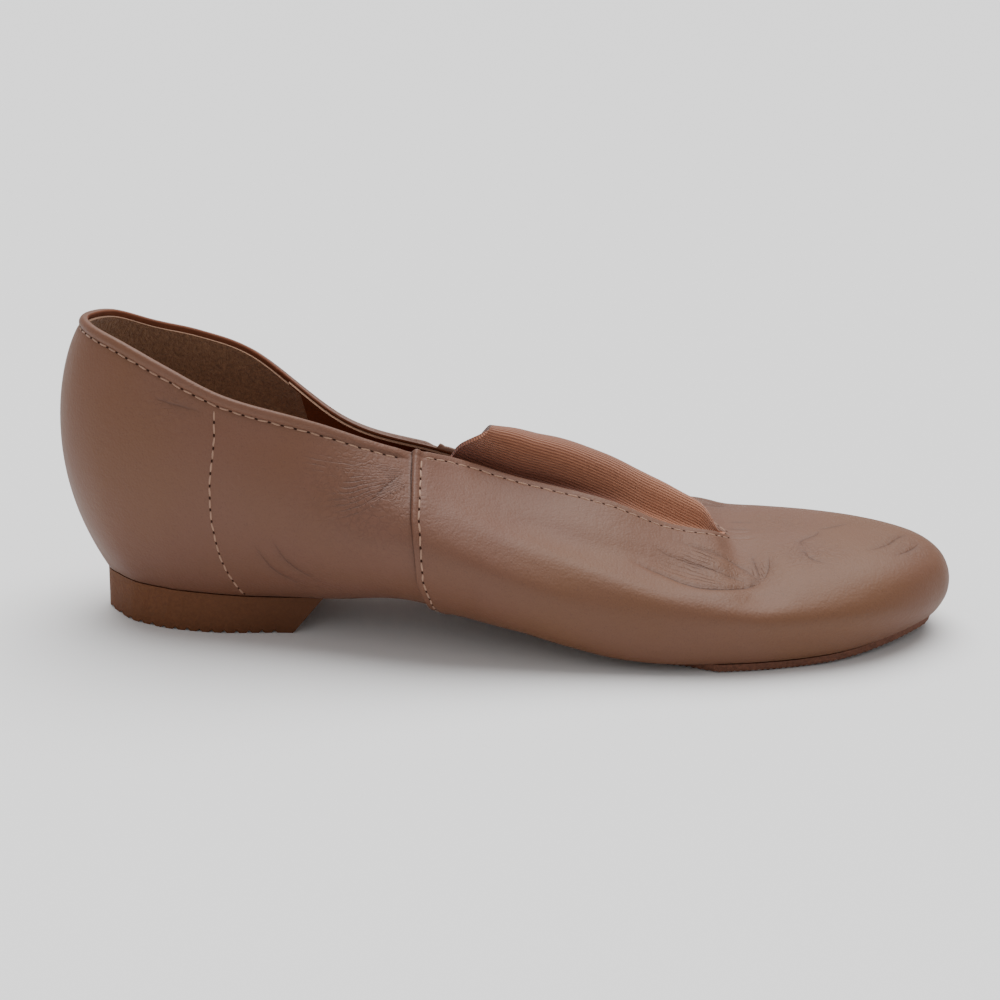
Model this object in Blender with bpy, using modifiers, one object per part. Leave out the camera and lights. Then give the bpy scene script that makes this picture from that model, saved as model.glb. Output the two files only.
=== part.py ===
"""Jazz shoe, right foot: leather upper with an elastic gusset, on a split sole.

The toe points along +X, the outer side of the foot is at -Y and the floor is z = 0.
The origin is on the floor, in the middle of the shoe's plan.
"""

import math

import bmesh
import bpy
import numpy as np
from mathutils import Matrix

# Driving sizes, in metres.
LENGTH = 0.2414
BALL_WIDTH = 0.0858
QUARTER_RISE = 0.0695
INSTEP_RISE = 0.0380
TOE_RISE = 0.0225
TOE_SPRING = 0.0030
HEEL_HEIGHT = 0.0108
SOLE_THICKNESS = 0.0022
WALL = 0.0018
LAP_STEP = 0.0009
LAP_LENGTH = 0.0220
ROLL_STEP = 0.0004
ROLL_WIDTH = 0.0034
MARGIN_WIDTH = 0.0100
GAP = 0.0003
INSOLE_THICKNESS = 0.0014
INSOLE_GAP = 0.0005
ELASTIC = 0.0012
ELASTIC_MARGIN = 0.0060
EDGE_CLEARANCE = 0.0009
INSOLE_INSET = 0.0012
GUSSET_RISE = 0.0125
GUSSET_SLANT = 0.0105
HEEL_BREAST_SLANT = 0.0080
HEEL_EDGE = 0.0012
HEEL_FLARE = 0.0010
RIB_PITCH = 0.0033
RIB_DEPTH = 0.0008
# The middle of the shoe's plan, from the back of the heel and the foot's middle line.
PLAN_MIDDLE = (0.1212, -0.0003)

# One row a section, from the back of the heel to the tip of the toe, all as shares.
# along and top_along are of LENGTH, from the back of the heel. across, top_across and
# tuck, which is how far the bottom edge lies inside the outline, are of BALL_WIDTH.
# flare is how straight the wall leaves the bottom edge. wide is the height of the
# widest point and top that of the upper edge, above the seat, of the section's own
# rise. side, out and down pull the curve between those two points.
COLUMNS = (
    "along", "across", "tuck", "flare", "wide", "top_along", "top_across", "top", "side", "out", "down",
)
RISES = (QUARTER_RISE,) * 6 + (INSTEP_RISE,) * 5 + (TOE_RISE,) * 8
OUTER_ROWS = (
    (0.004, 0.000, 0.125, 0.15, 0.574, 0.037, 0.000, 1.000, 0.50, 0.45, 0.12),
    (0.022, -0.160, 0.148, 0.15, 0.560, 0.056, -0.157, 0.996, 0.48, 0.42, 0.16),
    (0.058, -0.268, 0.148, 0.14, 0.534, 0.094, -0.245, 0.960, 0.44, 0.38, 0.22),
    (0.125, -0.341, 0.140, 0.12, 0.510, 0.144, -0.303, 0.888, 0.42, 0.32, 0.32),
    (0.196, -0.376, 0.140, 0.10, 0.488, 0.198, -0.333, 0.808, 0.40, 0.32, 0.34),
    (0.300, -0.423, 0.200, 0.03, 0.374, 0.298, -0.326, 0.720, 0.35, 0.45, 0.30),
    (0.399, -0.478, 0.236, 0.00, 0.520, 0.395, -0.240, 1.040, 0.42, 0.60, 0.38),
    (0.433, -0.489, 0.200, 0.00, 0.490, 0.436, -0.167, 0.970, 0.40, 0.60, 0.40),
    (0.508, -0.501, 0.117, 0.00, 0.386, 0.512, -0.135, 0.905, 0.35, 0.62, 0.48),
    (0.612, -0.505, 0.050, 0.00, 0.330, 0.610, -0.134, 0.878, 0.40, 0.65, 0.52),
    (0.695, -0.499, 0.034, 0.00, 0.280, 0.686, -0.103, 0.715, 0.50, 0.65, 0.50),
    (0.730, -0.487, 0.034, 0.00, 0.460, 0.727, -0.064, 1.100, 0.54, 0.66, 0.42),
    (0.760, -0.472, 0.034, 0.00, 0.444, 0.747, 0.000, 0.975, 0.60, 0.65, 0.35),
    (0.808, -0.436, 0.035, 0.00, 0.444, 0.790, 0.012, 0.978, 0.75, 0.60, 0.12),
    (0.862, -0.386, 0.040, 0.00, 0.448, 0.829, 0.020, 1.000, 0.80, 0.60, 0.03),
    (0.917, -0.302, 0.050, 0.00, 0.436, 0.864, 0.028, 1.000, 0.82, 0.60, 0.00),
    (0.964, -0.186, 0.052, 0.00, 0.420, 0.891, 0.033, 0.985, 0.80, 0.60, 0.00),
    (0.991, -0.078, 0.045, 0.00, 0.400, 0.909, 0.036, 0.975, 0.74, 0.57, 0.00),
    (1.000, 0.035, 0.041, 0.00, 0.390, 0.916, 0.037, 0.970, 0.70, 0.55, 0.00),
)
# The inner side's rows run between the same two ends.
INNER_ROWS = (
    (0.022, 0.149, 0.140, 0.15, 0.560, 0.054, 0.151, 0.982, 0.48, 0.42, 0.16),
    (0.058, 0.256, 0.138, 0.14, 0.534, 0.092, 0.230, 0.927, 0.44, 0.38, 0.22),
    (0.129, 0.326, 0.128, 0.12, 0.510, 0.142, 0.275, 0.880, 0.42, 0.32, 0.32),
    (0.208, 0.349, 0.122, 0.10, 0.470, 0.200, 0.291, 0.808, 0.40, 0.32, 0.34),
    (0.317, 0.343, 0.150, 0.03, 0.330, 0.310, 0.236, 0.555, 0.40, 0.45, 0.30),
    (0.429, 0.366, 0.140, 0.00, 0.490, 0.417, 0.131, 0.855, 0.45, 0.60, 0.35),
    (0.458, 0.384, 0.130, 0.00, 0.460, 0.446, 0.114, 0.838, 0.45, 0.60, 0.35),
    (0.521, 0.419, 0.110, 0.00, 0.405, 0.517, 0.110, 0.825, 0.48, 0.60, 0.38),
    (0.617, 0.465, 0.075, 0.00, 0.355, 0.610, 0.113, 0.818, 0.60, 0.65, 0.30),
    (0.696, 0.494, 0.060, 0.00, 0.290, 0.686, 0.094, 0.680, 0.70, 0.70, 0.15),
    (0.728, 0.499, 0.058, 0.00, 0.480, 0.727, 0.062, 1.060, 0.82, 0.72, 0.02),
    (0.756, 0.495, 0.058, 0.00, 0.466, 0.747, 0.000, 0.975, 0.92, 0.72, -0.08),
    (0.808, 0.477, 0.058, 0.00, 0.466, 0.790, 0.012, 0.978, 0.92, 0.70, -0.05),
    (0.867, 0.438, 0.058, 0.00, 0.455, 0.829, 0.020, 1.000, 0.88, 0.65, 0.00),
    (0.920, 0.358, 0.056, 0.00, 0.442, 0.864, 0.028, 1.000, 0.85, 0.60, 0.00),
    (0.962, 0.258, 0.052, 0.00, 0.422, 0.891, 0.033, 0.985, 0.80, 0.60, 0.00),
    (0.990, 0.148, 0.045, 0.00, 0.400, 0.909, 0.036, 0.975, 0.74, 0.57, 0.00),
)
# Places in those tables, in row numbers.
SEAM_ROW = 6
THROAT_REAR_ROW = 7
THROAT_TIP_ROW = 12
TOE_ROW = 18
HEEL_WINDOW_ROW = 4.0
FRONT_WINDOW_ROW = 10.0
HEEL_FRONT_ROW = 5.0
PATCH_REAR_ROW = 8.35
PATCH_ROUND_ROWS = 2.5
PATCH_BLUNTNESS = 0.25
PATCH_CROWDING = 1.25
GUSSET_TIP_ROW = 11.5
STEPS_PER_ROW = 3
LOWER_STEPS = (0.0, 0.25, 0.50, 0.75)
UPPER_STEPS = (0.0, 0.12, 0.26, 0.42, 0.60, 0.80)
ROLL_SPREAD = 0.02
LAP_ROWS = 0.10
HEEL_CENTRE = 0.133
TOE_CENTRE = 0.850
MIDDLE_ACROSS = 0.045

# The underside of the foot: share of LENGTH, share of the heel's lift, share of TOE_SPRING.
SEAT_ROWS = (
    (0.000, 1.00, 0.0), (0.150, 0.96, 0.0), (0.300, 0.88, 0.0), (0.390, 1.06, 0.0), (0.450, 0.92, 0.0),
    (0.510, 0.66, 0.0), (0.570, 0.32, 0.0), (0.625, 0.07, 0.0), (0.670, 0.00, 0.0), (0.800, 0.00, 0.0),
    (0.870, 0.00, 0.24), (0.940, 0.00, 0.66), (1.000, 0.00, 1.0),
)
# The elastic tent's ridge: share of the throat from its rear end, share of GUSSET_RISE.
RIDGE_ROWS = (
    (0.00, 0.80), (0.20, 0.97), (0.36, 1.02), (0.52, 0.94), (0.66, 0.87), (0.76, 0.82),
    (0.85, 0.68), (0.90, 0.58), (0.95, 0.40), (1.00, 0.14),
)
# Its profile from the outer to the inner edge: share of the throat's width, share of the rise.
TENT_PROFILE = (
    (0.08, 0.15), (0.06, 0.52), (0.10, 0.86), (0.30, 1.00), (0.62, 1.00), (0.88, 0.82), (0.93, 0.35),
)
GUSSET_STEPS = 14
GUSSET_SLANT_SHARE = 0.3
SLAB_COLUMNS = 6
PATCH_STATIONS = 36
HEEL_STATIONS = 14
HEEL_COLUMNS = 8
# Half the parameter step over which a slope is read.
SLOPE_STEP = 0.02


def table_curve(xs, ys, x):
    """Smooth curve through a table's points, read at x, that never swings past a point."""
    widths, steps = np.diff(xs), np.diff(ys) / np.diff(xs)
    slopes = np.array([steps[0], *np.zeros(len(xs) - 2), steps[-1]])
    for k in range(1, len(xs) - 1):
        if steps[k - 1] * steps[k] > 0:
            near, far = 2 * widths[k] + widths[k - 1], widths[k] + 2 * widths[k - 1]
            slopes[k] = (near + far) / (near / steps[k - 1] + far / steps[k])
    k = int(np.clip(np.searchsorted(xs, x) - 1, 0, len(xs) - 2))
    width = xs[k + 1] - xs[k]
    f = min(max((x - xs[k]) / width, 0.0), 1.0)
    start = (2 * f ** 3 - 3 * f ** 2 + 1) * ys[k] + (f ** 3 - 2 * f ** 2 + f) * width * slopes[k]
    end = (3 * f ** 2 - 2 * f ** 3) * ys[k + 1] + (f ** 3 - f ** 2) * width * slopes[k + 1]
    return float(start + end)


def loop_spline(rows, t):
    """Smooth value of a closed loop of rows, at t in row numbers, allowing for their spacing."""
    i = math.floor(t)
    f = t - i
    a, b, c, d = (rows[(i + k) % len(rows)] for k in (-1, 0, 1, 2))
    before, width, after = (np.linalg.norm((q - p)[:2]) for p, q in ((a, b), (b, c), (c, d)))
    start = ((b - a) / before * width + (c - b) / width * before) / (before + width)
    end = ((c - b) / width * after + (d - c) / after * width) / (width + after)
    return (
        (2 * f ** 3 - 3 * f ** 2 + 1) * b + (f ** 3 - 2 * f ** 2 + f) * width * start
        + (3 * f ** 2 - 2 * f ** 3) * c + (f ** 3 - f ** 2) * width * end
    )


def bezier(a, b, c, d, t):
    """Point of a cubic curve."""
    return (1 - t) ** 3 * a + 3 * t * (1 - t) ** 2 * b + 3 * t ** 2 * (1 - t) * c + t ** 3 * d


def seat_height(x):
    """Height of the upper's underside at a distance from the back of the heel."""
    along, lift, spring = np.array(SEAT_ROWS).T
    rise = lift * (HEEL_HEIGHT - SOLE_THICKNESS) + spring * TOE_SPRING
    return SOLE_THICKNESS + GAP + table_curve(along * LENGTH, rise, x)


def section_rows():
    """Both sides' tables in metres, as one closed loop of sections."""
    loop = list(zip(OUTER_ROWS, RISES)) + list(zip(INNER_ROWS, RISES[1:]))[::-1]
    rows = []
    for row, rise in loop:
        v = dict(zip(COLUMNS, row))
        x, top_x = v["along"] * LENGTH, v["top_along"] * LENGTH
        rows.append(np.array([
            x, v["across"] * BALL_WIDTH, v["tuck"] * BALL_WIDTH, v["flare"], seat_height(x) + v["wide"] * rise,
            top_x, v["top_across"] * BALL_WIDTH, seat_height(top_x) + v["top"] * rise,
            v["side"], v["out"], v["down"],
        ]))
    return rows


ROWS = section_rows()
UP = np.array([0.0, 0.0, 1.0])


def on_seat(point):
    """The point moved up or down onto the seat line."""
    return np.array([point[0], point[1], seat_height(point[0])])


def towards_middle(point):
    """Level direction from a point of the outline to the middle line of the foot."""
    x = min(max(point[0], HEEL_CENTRE * LENGTH), TOE_CENTRE * LENGTH)
    way = np.array([x - point[0], MIDDLE_ACROSS * BALL_WIDTH * point[0] / LENGTH - point[1], 0.0])
    return way / np.linalg.norm(way)


def section(t):
    """The section at loop parameter t: its margin and its lower and upper curves."""
    x, y, tuck, flare, wide_z, top_x, top_y, top_z, side, out, down = loop_spline(ROWS, t)
    wide = np.array([x, y, wide_z])
    inward = towards_middle(wide)
    bottom = on_seat(wide + inward * tuck)
    margin = on_seat(bottom + towards_middle(bottom) * MARGIN_WIDTH)
    top = np.array([top_x, top_y, top_z])
    lift, height = wide_z - bottom[2], top_z - wide_z
    low_pull = bottom - inward * tuck * (0.5 - 1.2 * flare) + UP * lift * flare
    low_rise = wide - UP * lift * 0.5
    high_rise = wide + UP * height * side
    high_pull = top + (wide - top) * np.array([out, out, 0.0]) - UP * height * down
    return margin, (bottom, low_pull, low_rise, wide), (wide, high_rise, high_pull, top)


def section_points(t):
    """The section's points, from the sole's margin to the upper edge."""
    margin, low, high = section(t)
    length = sum(np.linalg.norm(bezier(*high, (k + 1) / 8) - bezier(*high, k / 8)) for k in range(8))
    roll = 1 - ROLL_WIDTH / length
    below, above = roll - ROLL_SPREAD, roll + ROLL_SPREAD
    points = [margin] + [bezier(*low, s) for s in LOWER_STEPS]
    points += [bezier(*high, s * below) for s in UPPER_STEPS] + [bezier(*high, s) for s in (below, above, 1.0)]
    return np.array(points)


def side_parameters(stations):
    """Loop parameters of the outer and inner side for stations in row numbers."""
    outer = np.array(stations)
    return outer, len(ROWS) - outer


def side_grid(parameters):
    """Points and outward normals of one side, a row of points a station."""
    points = np.array([section_points(t) for t in parameters])
    ahead = np.array([section_points(t + SLOPE_STEP) for t in parameters])
    behind = np.array([section_points(t - SLOPE_STEP) for t in parameters])
    normals = np.cross(ahead - behind, np.gradient(points, axis=1))
    normals /= np.linalg.norm(normals, axis=2, keepdims=True)
    return points, normals


def upper_stations():
    """Stations along the shoe, with a close pair where the vamp laps over the quarter."""
    stations = [k / STEPS_PER_ROW for k in range(TOE_ROW * STEPS_PER_ROW + 1)]
    stations += [SEAM_ROW + LAP_ROWS]
    return sorted(stations)


def lap_height(station):
    """How far the vamp stands over the quarter, dying out in front of the seam."""
    if station <= SEAM_ROW:
        return 0.0
    ahead = (ROWS[SEAM_ROW][0] - loop_spline(ROWS, station)[0]) / LAP_LENGTH
    return LAP_STEP * max(0.0, 1 + ahead)


def material(name, colour, roughness):
    """A plain material of one colour."""
    made = bpy.data.materials.new(name)
    made.use_nodes = True
    shader = made.node_tree.nodes["Principled BSDF"]
    shader.inputs["Base Color"].default_value = (*colour, 1.0)
    shader.inputs["Roughness"].default_value = roughness
    shader.inputs["Metallic"].default_value = 0.0
    return made


def add_object(name, mesh, finish, collection):
    """Put a mesh in a collection, in the middle of the plan, with its material."""
    thing = bpy.data.objects.new(name, mesh)
    collection.objects.link(thing)
    thing.location = (-PLAN_MIDDLE[0], -PLAN_MIDDLE[1], 0.0)
    if finish:
        mesh.materials.append(finish)
    return thing


def thicken(bm, inner):
    """Close a surface into a wall: a second skin at the inner places and a rim along its edges."""
    twin = {vert: bm.verts.new(place) for vert, place in inner.items()}
    faces = list(bm.faces)
    rims = [(loop.vert, loop.link_loop_next.vert) for face in faces for loop in face.loops if loop.edge.is_boundary]
    for face in faces:
        bm.faces.new([twin[vert] for vert in reversed(face.verts)])
    for a, b in rims:
        bm.faces.new([b, a, twin[a], twin[b]])


def upper_mesh():
    """The upper's wall: vamp and quarters, turned under onto the sole."""
    stations = upper_stations()
    laps = np.array([lap_height(s) for s in stations])
    faces, linings = [], []
    for parameters in side_parameters(stations):
        points, normals = side_grid(parameters)
        face = points + normals * laps[:, None, None]
        rolled = np.array(stations) <= SEAM_ROW
        face[rolled, -2:] += normals[rolled, -2:] * ROLL_STEP
        faces.append(face)
        linings.append(points - normals * WALL)
    bm = bmesh.new()
    inner = {}

    def vertex(face, lining):
        made = bm.verts.new(face)
        inner[made] = lining
        return made

    last, rows = len(stations) - 1, faces[0].shape[1]
    table = [[[None] * rows for _ in stations] for _ in faces]
    middle = []
    for i, station in enumerate(stations):
        pair_face, pair_lining = 0.5 * (faces[0][i] + faces[1][i]), 0.5 * (linings[0][i] + linings[1][i])
        for j in range(rows):
            if i in (0, last) or (station >= THROAT_TIP_ROW and j == rows - 1):
                table[0][i][j] = table[1][i][j] = vertex(pair_face[j], pair_lining[j])
            else:
                for side in (0, 1):
                    table[side][i][j] = vertex(faces[side][i, j], linings[side][i, j])
        under = HEEL_WINDOW_ROW <= station <= FRONT_WINDOW_ROW
        middle.append(vertex(pair_face[0], pair_lining[0]) if under else None)
    for i in range(last):
        for side in (0, 1):
            for j in range(-1, rows - 1):
                low = (middle[i], middle[i + 1]) if j < 0 else (table[side][i][j], table[side][i + 1][j])
                high = (table[side][i + 1][j + 1], table[side][i][j + 1])
                corners = list(dict.fromkeys(low + high))
                if None not in corners and len(corners) > 2:
                    bm.faces.new(corners[::-1] if side else corners)
    thicken(bm, inner)
    mesh = bpy.data.meshes.new("upper")
    bm.to_mesh(mesh)
    bm.free()
    mesh.shade_smooth()
    mesh.set_sharp_from_angle(angle=math.radians(50))
    return mesh


def make_upper(collection):
    """Upper: one hollow leather wall, open at the collar and throat and under heel and ball."""
    leather = material("tan_leather", (0.235, 0.115, 0.080), 0.55)
    return add_object("upper", upper_mesh(), leather, collection)


def bottom_edge(t, inset):
    """Point of the upper's bottom edge, moved inwards in plan."""
    edge = section(t)[1][0]
    return edge + towards_middle(edge) * inset


def slab_rings(stations, inset, columns, widths=None):
    """Rows of points from the outer to the inner side, one a station, inside the bottom edge."""
    rings = []
    outer, inner = side_parameters(stations)
    for a, b, width in zip(outer, inner, np.ones(len(outer)) if widths is None else widths):
        start, end = bottom_edge(a, inset), bottom_edge(b, inset)
        middle = 0.5 * (start + end)
        rings.append([middle + (start - middle) * width * (1 - 2 * c / columns) for c in range(columns + 1)])
    return np.array(rings)


def slab_mesh(name, top, base):
    """A closed slab between two grids of points."""
    count, across = top.shape[:2]
    bm = bmesh.new()
    layers = [[[bm.verts.new(p) for p in ring] for ring in grid] for grid in (top, base)]
    upper, lower = layers
    for i in range(count - 1):
        for c in range(across - 1):
            bm.faces.new([upper[i][c], upper[i + 1][c], upper[i + 1][c + 1], upper[i][c + 1]])
            bm.faces.new([lower[i][c], lower[i][c + 1], lower[i + 1][c + 1], lower[i + 1][c]])
    rim = [(i, 0) for i in range(count)] + [(count - 1, c) for c in range(1, across)]
    rim += [(i, across - 1) for i in range(count - 2, -1, -1)] + [(0, c) for c in range(across - 2, 0, -1)]
    for (i, c), (k, d) in zip(rim, rim[1:] + rim[:1]):
        bm.faces.new([upper[i][c], lower[i][c], lower[k][d], upper[k][d]])
    bmesh.ops.remove_doubles(bm, verts=bm.verts, dist=0.00005)
    bmesh.ops.recalc_face_normals(bm, faces=bm.faces)
    mesh = bpy.data.meshes.new(name)
    bm.to_mesh(mesh)
    bm.free()
    mesh.shade_smooth()
    mesh.set_sharp_from_angle(angle=math.radians(40))
    return mesh


def with_heights(grid, height):
    """The grid with each point's height worked out from its place along the shoe."""
    moved = grid.copy()
    for ring in moved:
        for point in ring:
            point[2] = height(point[0])
    return moved


def make_insole(collection):
    """Insole: a thin sock lying on the turned-under leather."""
    stations = np.linspace(0.0, TOE_ROW, TOE_ROW * 2 + 1)
    grid = slab_rings(stations, INSOLE_INSET, SLAB_COLUMNS)
    base = with_heights(grid, lambda x: seat_height(x) + WALL + INSOLE_GAP)
    top = base + UP * INSOLE_THICKNESS
    lining = material("tan_lining", (0.30, 0.17, 0.11), 0.9)
    return add_object("insole", slab_mesh("insole", top, base), lining, collection)


def make_patch(collection):
    """Forefoot sole: a thin ribbed patch under the ball and toes, with its toe spring."""
    stations = PATCH_REAR_ROW + (TOE_ROW - PATCH_REAR_ROW) * np.linspace(0.0, 1.0, PATCH_STATIONS) ** PATCH_CROWDING
    rounding = np.minimum(1.0, (stations - PATCH_REAR_ROW) / PATCH_ROUND_ROWS) ** PATCH_BLUNTNESS
    grid = slab_rings(stations, 0.0, SLAB_COLUMNS, rounding)
    top = with_heights(grid, lambda x: seat_height(x) - GAP)
    base = top - UP * SOLE_THICKNESS
    rubber = material("brown_sole", (0.055, 0.028, 0.020), 0.85)
    return add_object("sole_patch", slab_mesh("sole_patch", top, base), rubber, collection)


def rib_cutter(heel, length, collection):
    """Diamond bars that cut the grooves across the underside of the heel."""
    bm = bmesh.new()
    count = int(length / RIB_PITCH)
    side = RIB_DEPTH * math.sqrt(2)
    for k in range(count):
        made = bmesh.ops.create_cube(bm, size=1.0)["verts"]
        bmesh.ops.scale(bm, vec=(side, BALL_WIDTH, side), verts=made)
        turn = Matrix.Rotation(math.radians(45), 3, "Y")
        bmesh.ops.rotate(bm, cent=(0, 0, 0), matrix=turn, verts=made)
        bmesh.ops.translate(bm, vec=((k + 0.5) * RIB_PITCH, 0.0, 0.0), verts=made)
    mesh = bpy.data.meshes.new("heel_grooves")
    bm.to_mesh(mesh)
    bm.free()
    cutter = bpy.data.objects.new("heel_grooves", mesh)
    collection.objects.link(cutter)
    cutter.hide_render = True
    cutter.display_type = "WIRE"
    groove = heel.modifiers.new("grooves", "BOOLEAN")
    groove.operation = "DIFFERENCE"
    groove.object = cutter
    return cutter


def make_heel(collection, cutters):
    """Heel: a low block under the seat, with a slanted breast and grooves across its tread."""
    stations = np.linspace(0.0, HEEL_FRONT_ROW, HEEL_STATIONS)
    grid = slab_rings(stations, 0.0, HEEL_COLUMNS)
    back, front = grid[0, 0, 0], grid[-1, 0, 0]
    top = with_heights(grid, lambda x: seat_height(x) - GAP)
    base = with_heights(grid, lambda x: 0.0)
    share = (base[:, :, 0] - back) / (front - back)
    base[:, :, 0] -= share * HEEL_BREAST_SLANT
    base[:, :, 1] *= 1 + HEEL_FLARE / abs(grid[:, :, 1]).max()
    rubber = material("tan_heel", (0.22, 0.10, 0.055), 0.7)
    heel = add_object("heel", slab_mesh("heel", top, base), rubber, collection)
    edge = heel.modifiers.new("edge", "BEVEL")
    edge.width = HEEL_EDGE
    edge.segments = 2
    edge.limit_method = "ANGLE"
    edge.angle_limit = math.radians(50)
    cutter = rib_cutter(heel, front - HEEL_BREAST_SLANT - back, cutters)
    cutter.location = (heel.location.x + back, 0.0, 0.0)
    return heel


def leather_point(t, u):
    """Point of the upper's outer face between its widest line (0) and its upper edge (1)."""
    return bezier(*section(t)[2], u)


def leather_frame(t, distance):
    """Point of the upper a distance down from its edge, its outward normal and the way up to the edge."""
    length = sum(
        np.linalg.norm(leather_point(t, 1 - k / 20) - leather_point(t, 1 - (k + 1) / 20)) for k in range(10)
    )
    u = 1 - 0.5 * distance / length
    point = leather_point(t, u)
    up = leather_point(t, u) - leather_point(t, u - SLOPE_STEP)
    along = leather_point(t + SLOPE_STEP, u) - leather_point(t - SLOPE_STEP, u)
    normal = np.cross(along, up)
    return point, normal / np.linalg.norm(normal), up / np.linalg.norm(up)


def tent_points(station, rear, tip):
    """The elastic's section: a margin under each leather edge and the tent between them."""
    sides = []
    for t in (station, len(ROWS) - station):
        under = []
        for distance in (ELASTIC_MARGIN, 0.5 * ELASTIC_MARGIN, ELASTIC):
            point, normal, _ = leather_frame(t, distance)
            under.append(point - normal * (WALL + GAP))
        point, normal, up = leather_frame(t, 0.0)
        base = point - normal * (WALL + GAP) + up * EDGE_CLEARANCE
        sides.append((under, base))
    (outer, start), (inner, end) = sides
    share = (leather_point(station, 1.0)[0] - rear) / (tip - rear)
    along, rise = np.array(RIDGE_ROWS).T
    height = GUSSET_RISE * table_curve(along, rise, share)
    slant = np.array([GUSSET_SLANT, 0.0, 0.0]) * max(0.0, 1 - share / GUSSET_SLANT_SHARE)
    tent = [start + (end - start) * a + (UP * height + slant) * h for a, h in TENT_PROFILE]
    return np.array(outer + [start] + tent + [end] + inner[::-1])


def make_gusset(collection):
    """Gusset: an elastic sheet sewn under the throat's edges, standing up in a loop."""
    stations = np.linspace(THROAT_REAR_ROW, GUSSET_TIP_ROW, GUSSET_STEPS)
    rear, tip = leather_point(THROAT_REAR_ROW, 1.0)[0], leather_point(THROAT_TIP_ROW, 1.0)[0]
    grid = np.array([tent_points(station, rear, tip) for station in stations])
    normals = np.cross(np.gradient(grid, axis=0), np.gradient(grid, axis=1))
    normals /= np.linalg.norm(normals, axis=2, keepdims=True)
    bm = bmesh.new()
    rows = [[bm.verts.new(p) for p in ring] for ring in grid]
    inner = {v: p - n * ELASTIC for row, ps, ns in zip(rows, grid, normals) for v, p, n in zip(row, ps, ns)}
    for low, high in zip(rows, rows[1:]):
        for a, b, c, d in zip(low, high, high[1:], low[1:]):
            bm.faces.new([a, b, c, d])
    thicken(bm, inner)
    mesh = bpy.data.meshes.new("gusset")
    bm.to_mesh(mesh)
    bm.free()
    mesh.shade_smooth()
    mesh.set_sharp_from_angle(angle=math.radians(50))
    elastic = material("tan_elastic", (0.44, 0.24, 0.16), 0.85)
    return add_object("gusset", mesh, elastic, collection)


def new_collection(name):
    """A collection under the scene's own."""
    made = bpy.data.collections.new(name)
    bpy.context.scene.collection.children.link(made)
    return made


def main():
    for thing in list(bpy.data.objects):
        bpy.data.objects.remove(thing)
    parts = new_collection("jazz_shoe")
    cutters = new_collection("cutters")
    make_upper(parts)
    make_gusset(parts)
    make_insole(parts)
    make_patch(parts)
    make_heel(parts, cutters)


main()
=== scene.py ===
"""Jazz shoe, right foot: the leather, elastic, thread and soles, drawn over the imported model.

Everything is in metres. The toe points along +X, the outer side of the foot is at -Y
and the floor is z = 0.
"""

import math

import bpy
import numpy as np
from mathutils import Matrix, Vector


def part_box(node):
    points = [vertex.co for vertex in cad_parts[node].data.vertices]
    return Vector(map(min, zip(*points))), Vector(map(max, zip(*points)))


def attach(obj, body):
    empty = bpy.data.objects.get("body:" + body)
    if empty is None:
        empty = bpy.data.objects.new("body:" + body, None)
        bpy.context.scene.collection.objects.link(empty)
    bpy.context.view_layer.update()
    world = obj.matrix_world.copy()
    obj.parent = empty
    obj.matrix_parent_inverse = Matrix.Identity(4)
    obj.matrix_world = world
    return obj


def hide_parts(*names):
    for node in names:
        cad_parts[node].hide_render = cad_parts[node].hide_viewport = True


bl_info = {
    "name": "Jazz shoe",
    "version": (1, 0, 0),
    "blender": (4, 5, 0),
    "location": "View3D > Sidebar > Shoe",
    "description": "Builds a leather jazz shoe with an elastic gusset",
    "category": "Object",
}

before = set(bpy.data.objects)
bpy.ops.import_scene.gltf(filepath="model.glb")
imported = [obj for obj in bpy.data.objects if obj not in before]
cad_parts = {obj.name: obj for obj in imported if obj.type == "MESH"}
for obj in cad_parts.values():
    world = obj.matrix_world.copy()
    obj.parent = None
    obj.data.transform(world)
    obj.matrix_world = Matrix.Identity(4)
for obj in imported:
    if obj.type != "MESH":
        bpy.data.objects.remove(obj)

MM = 0.001

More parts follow.
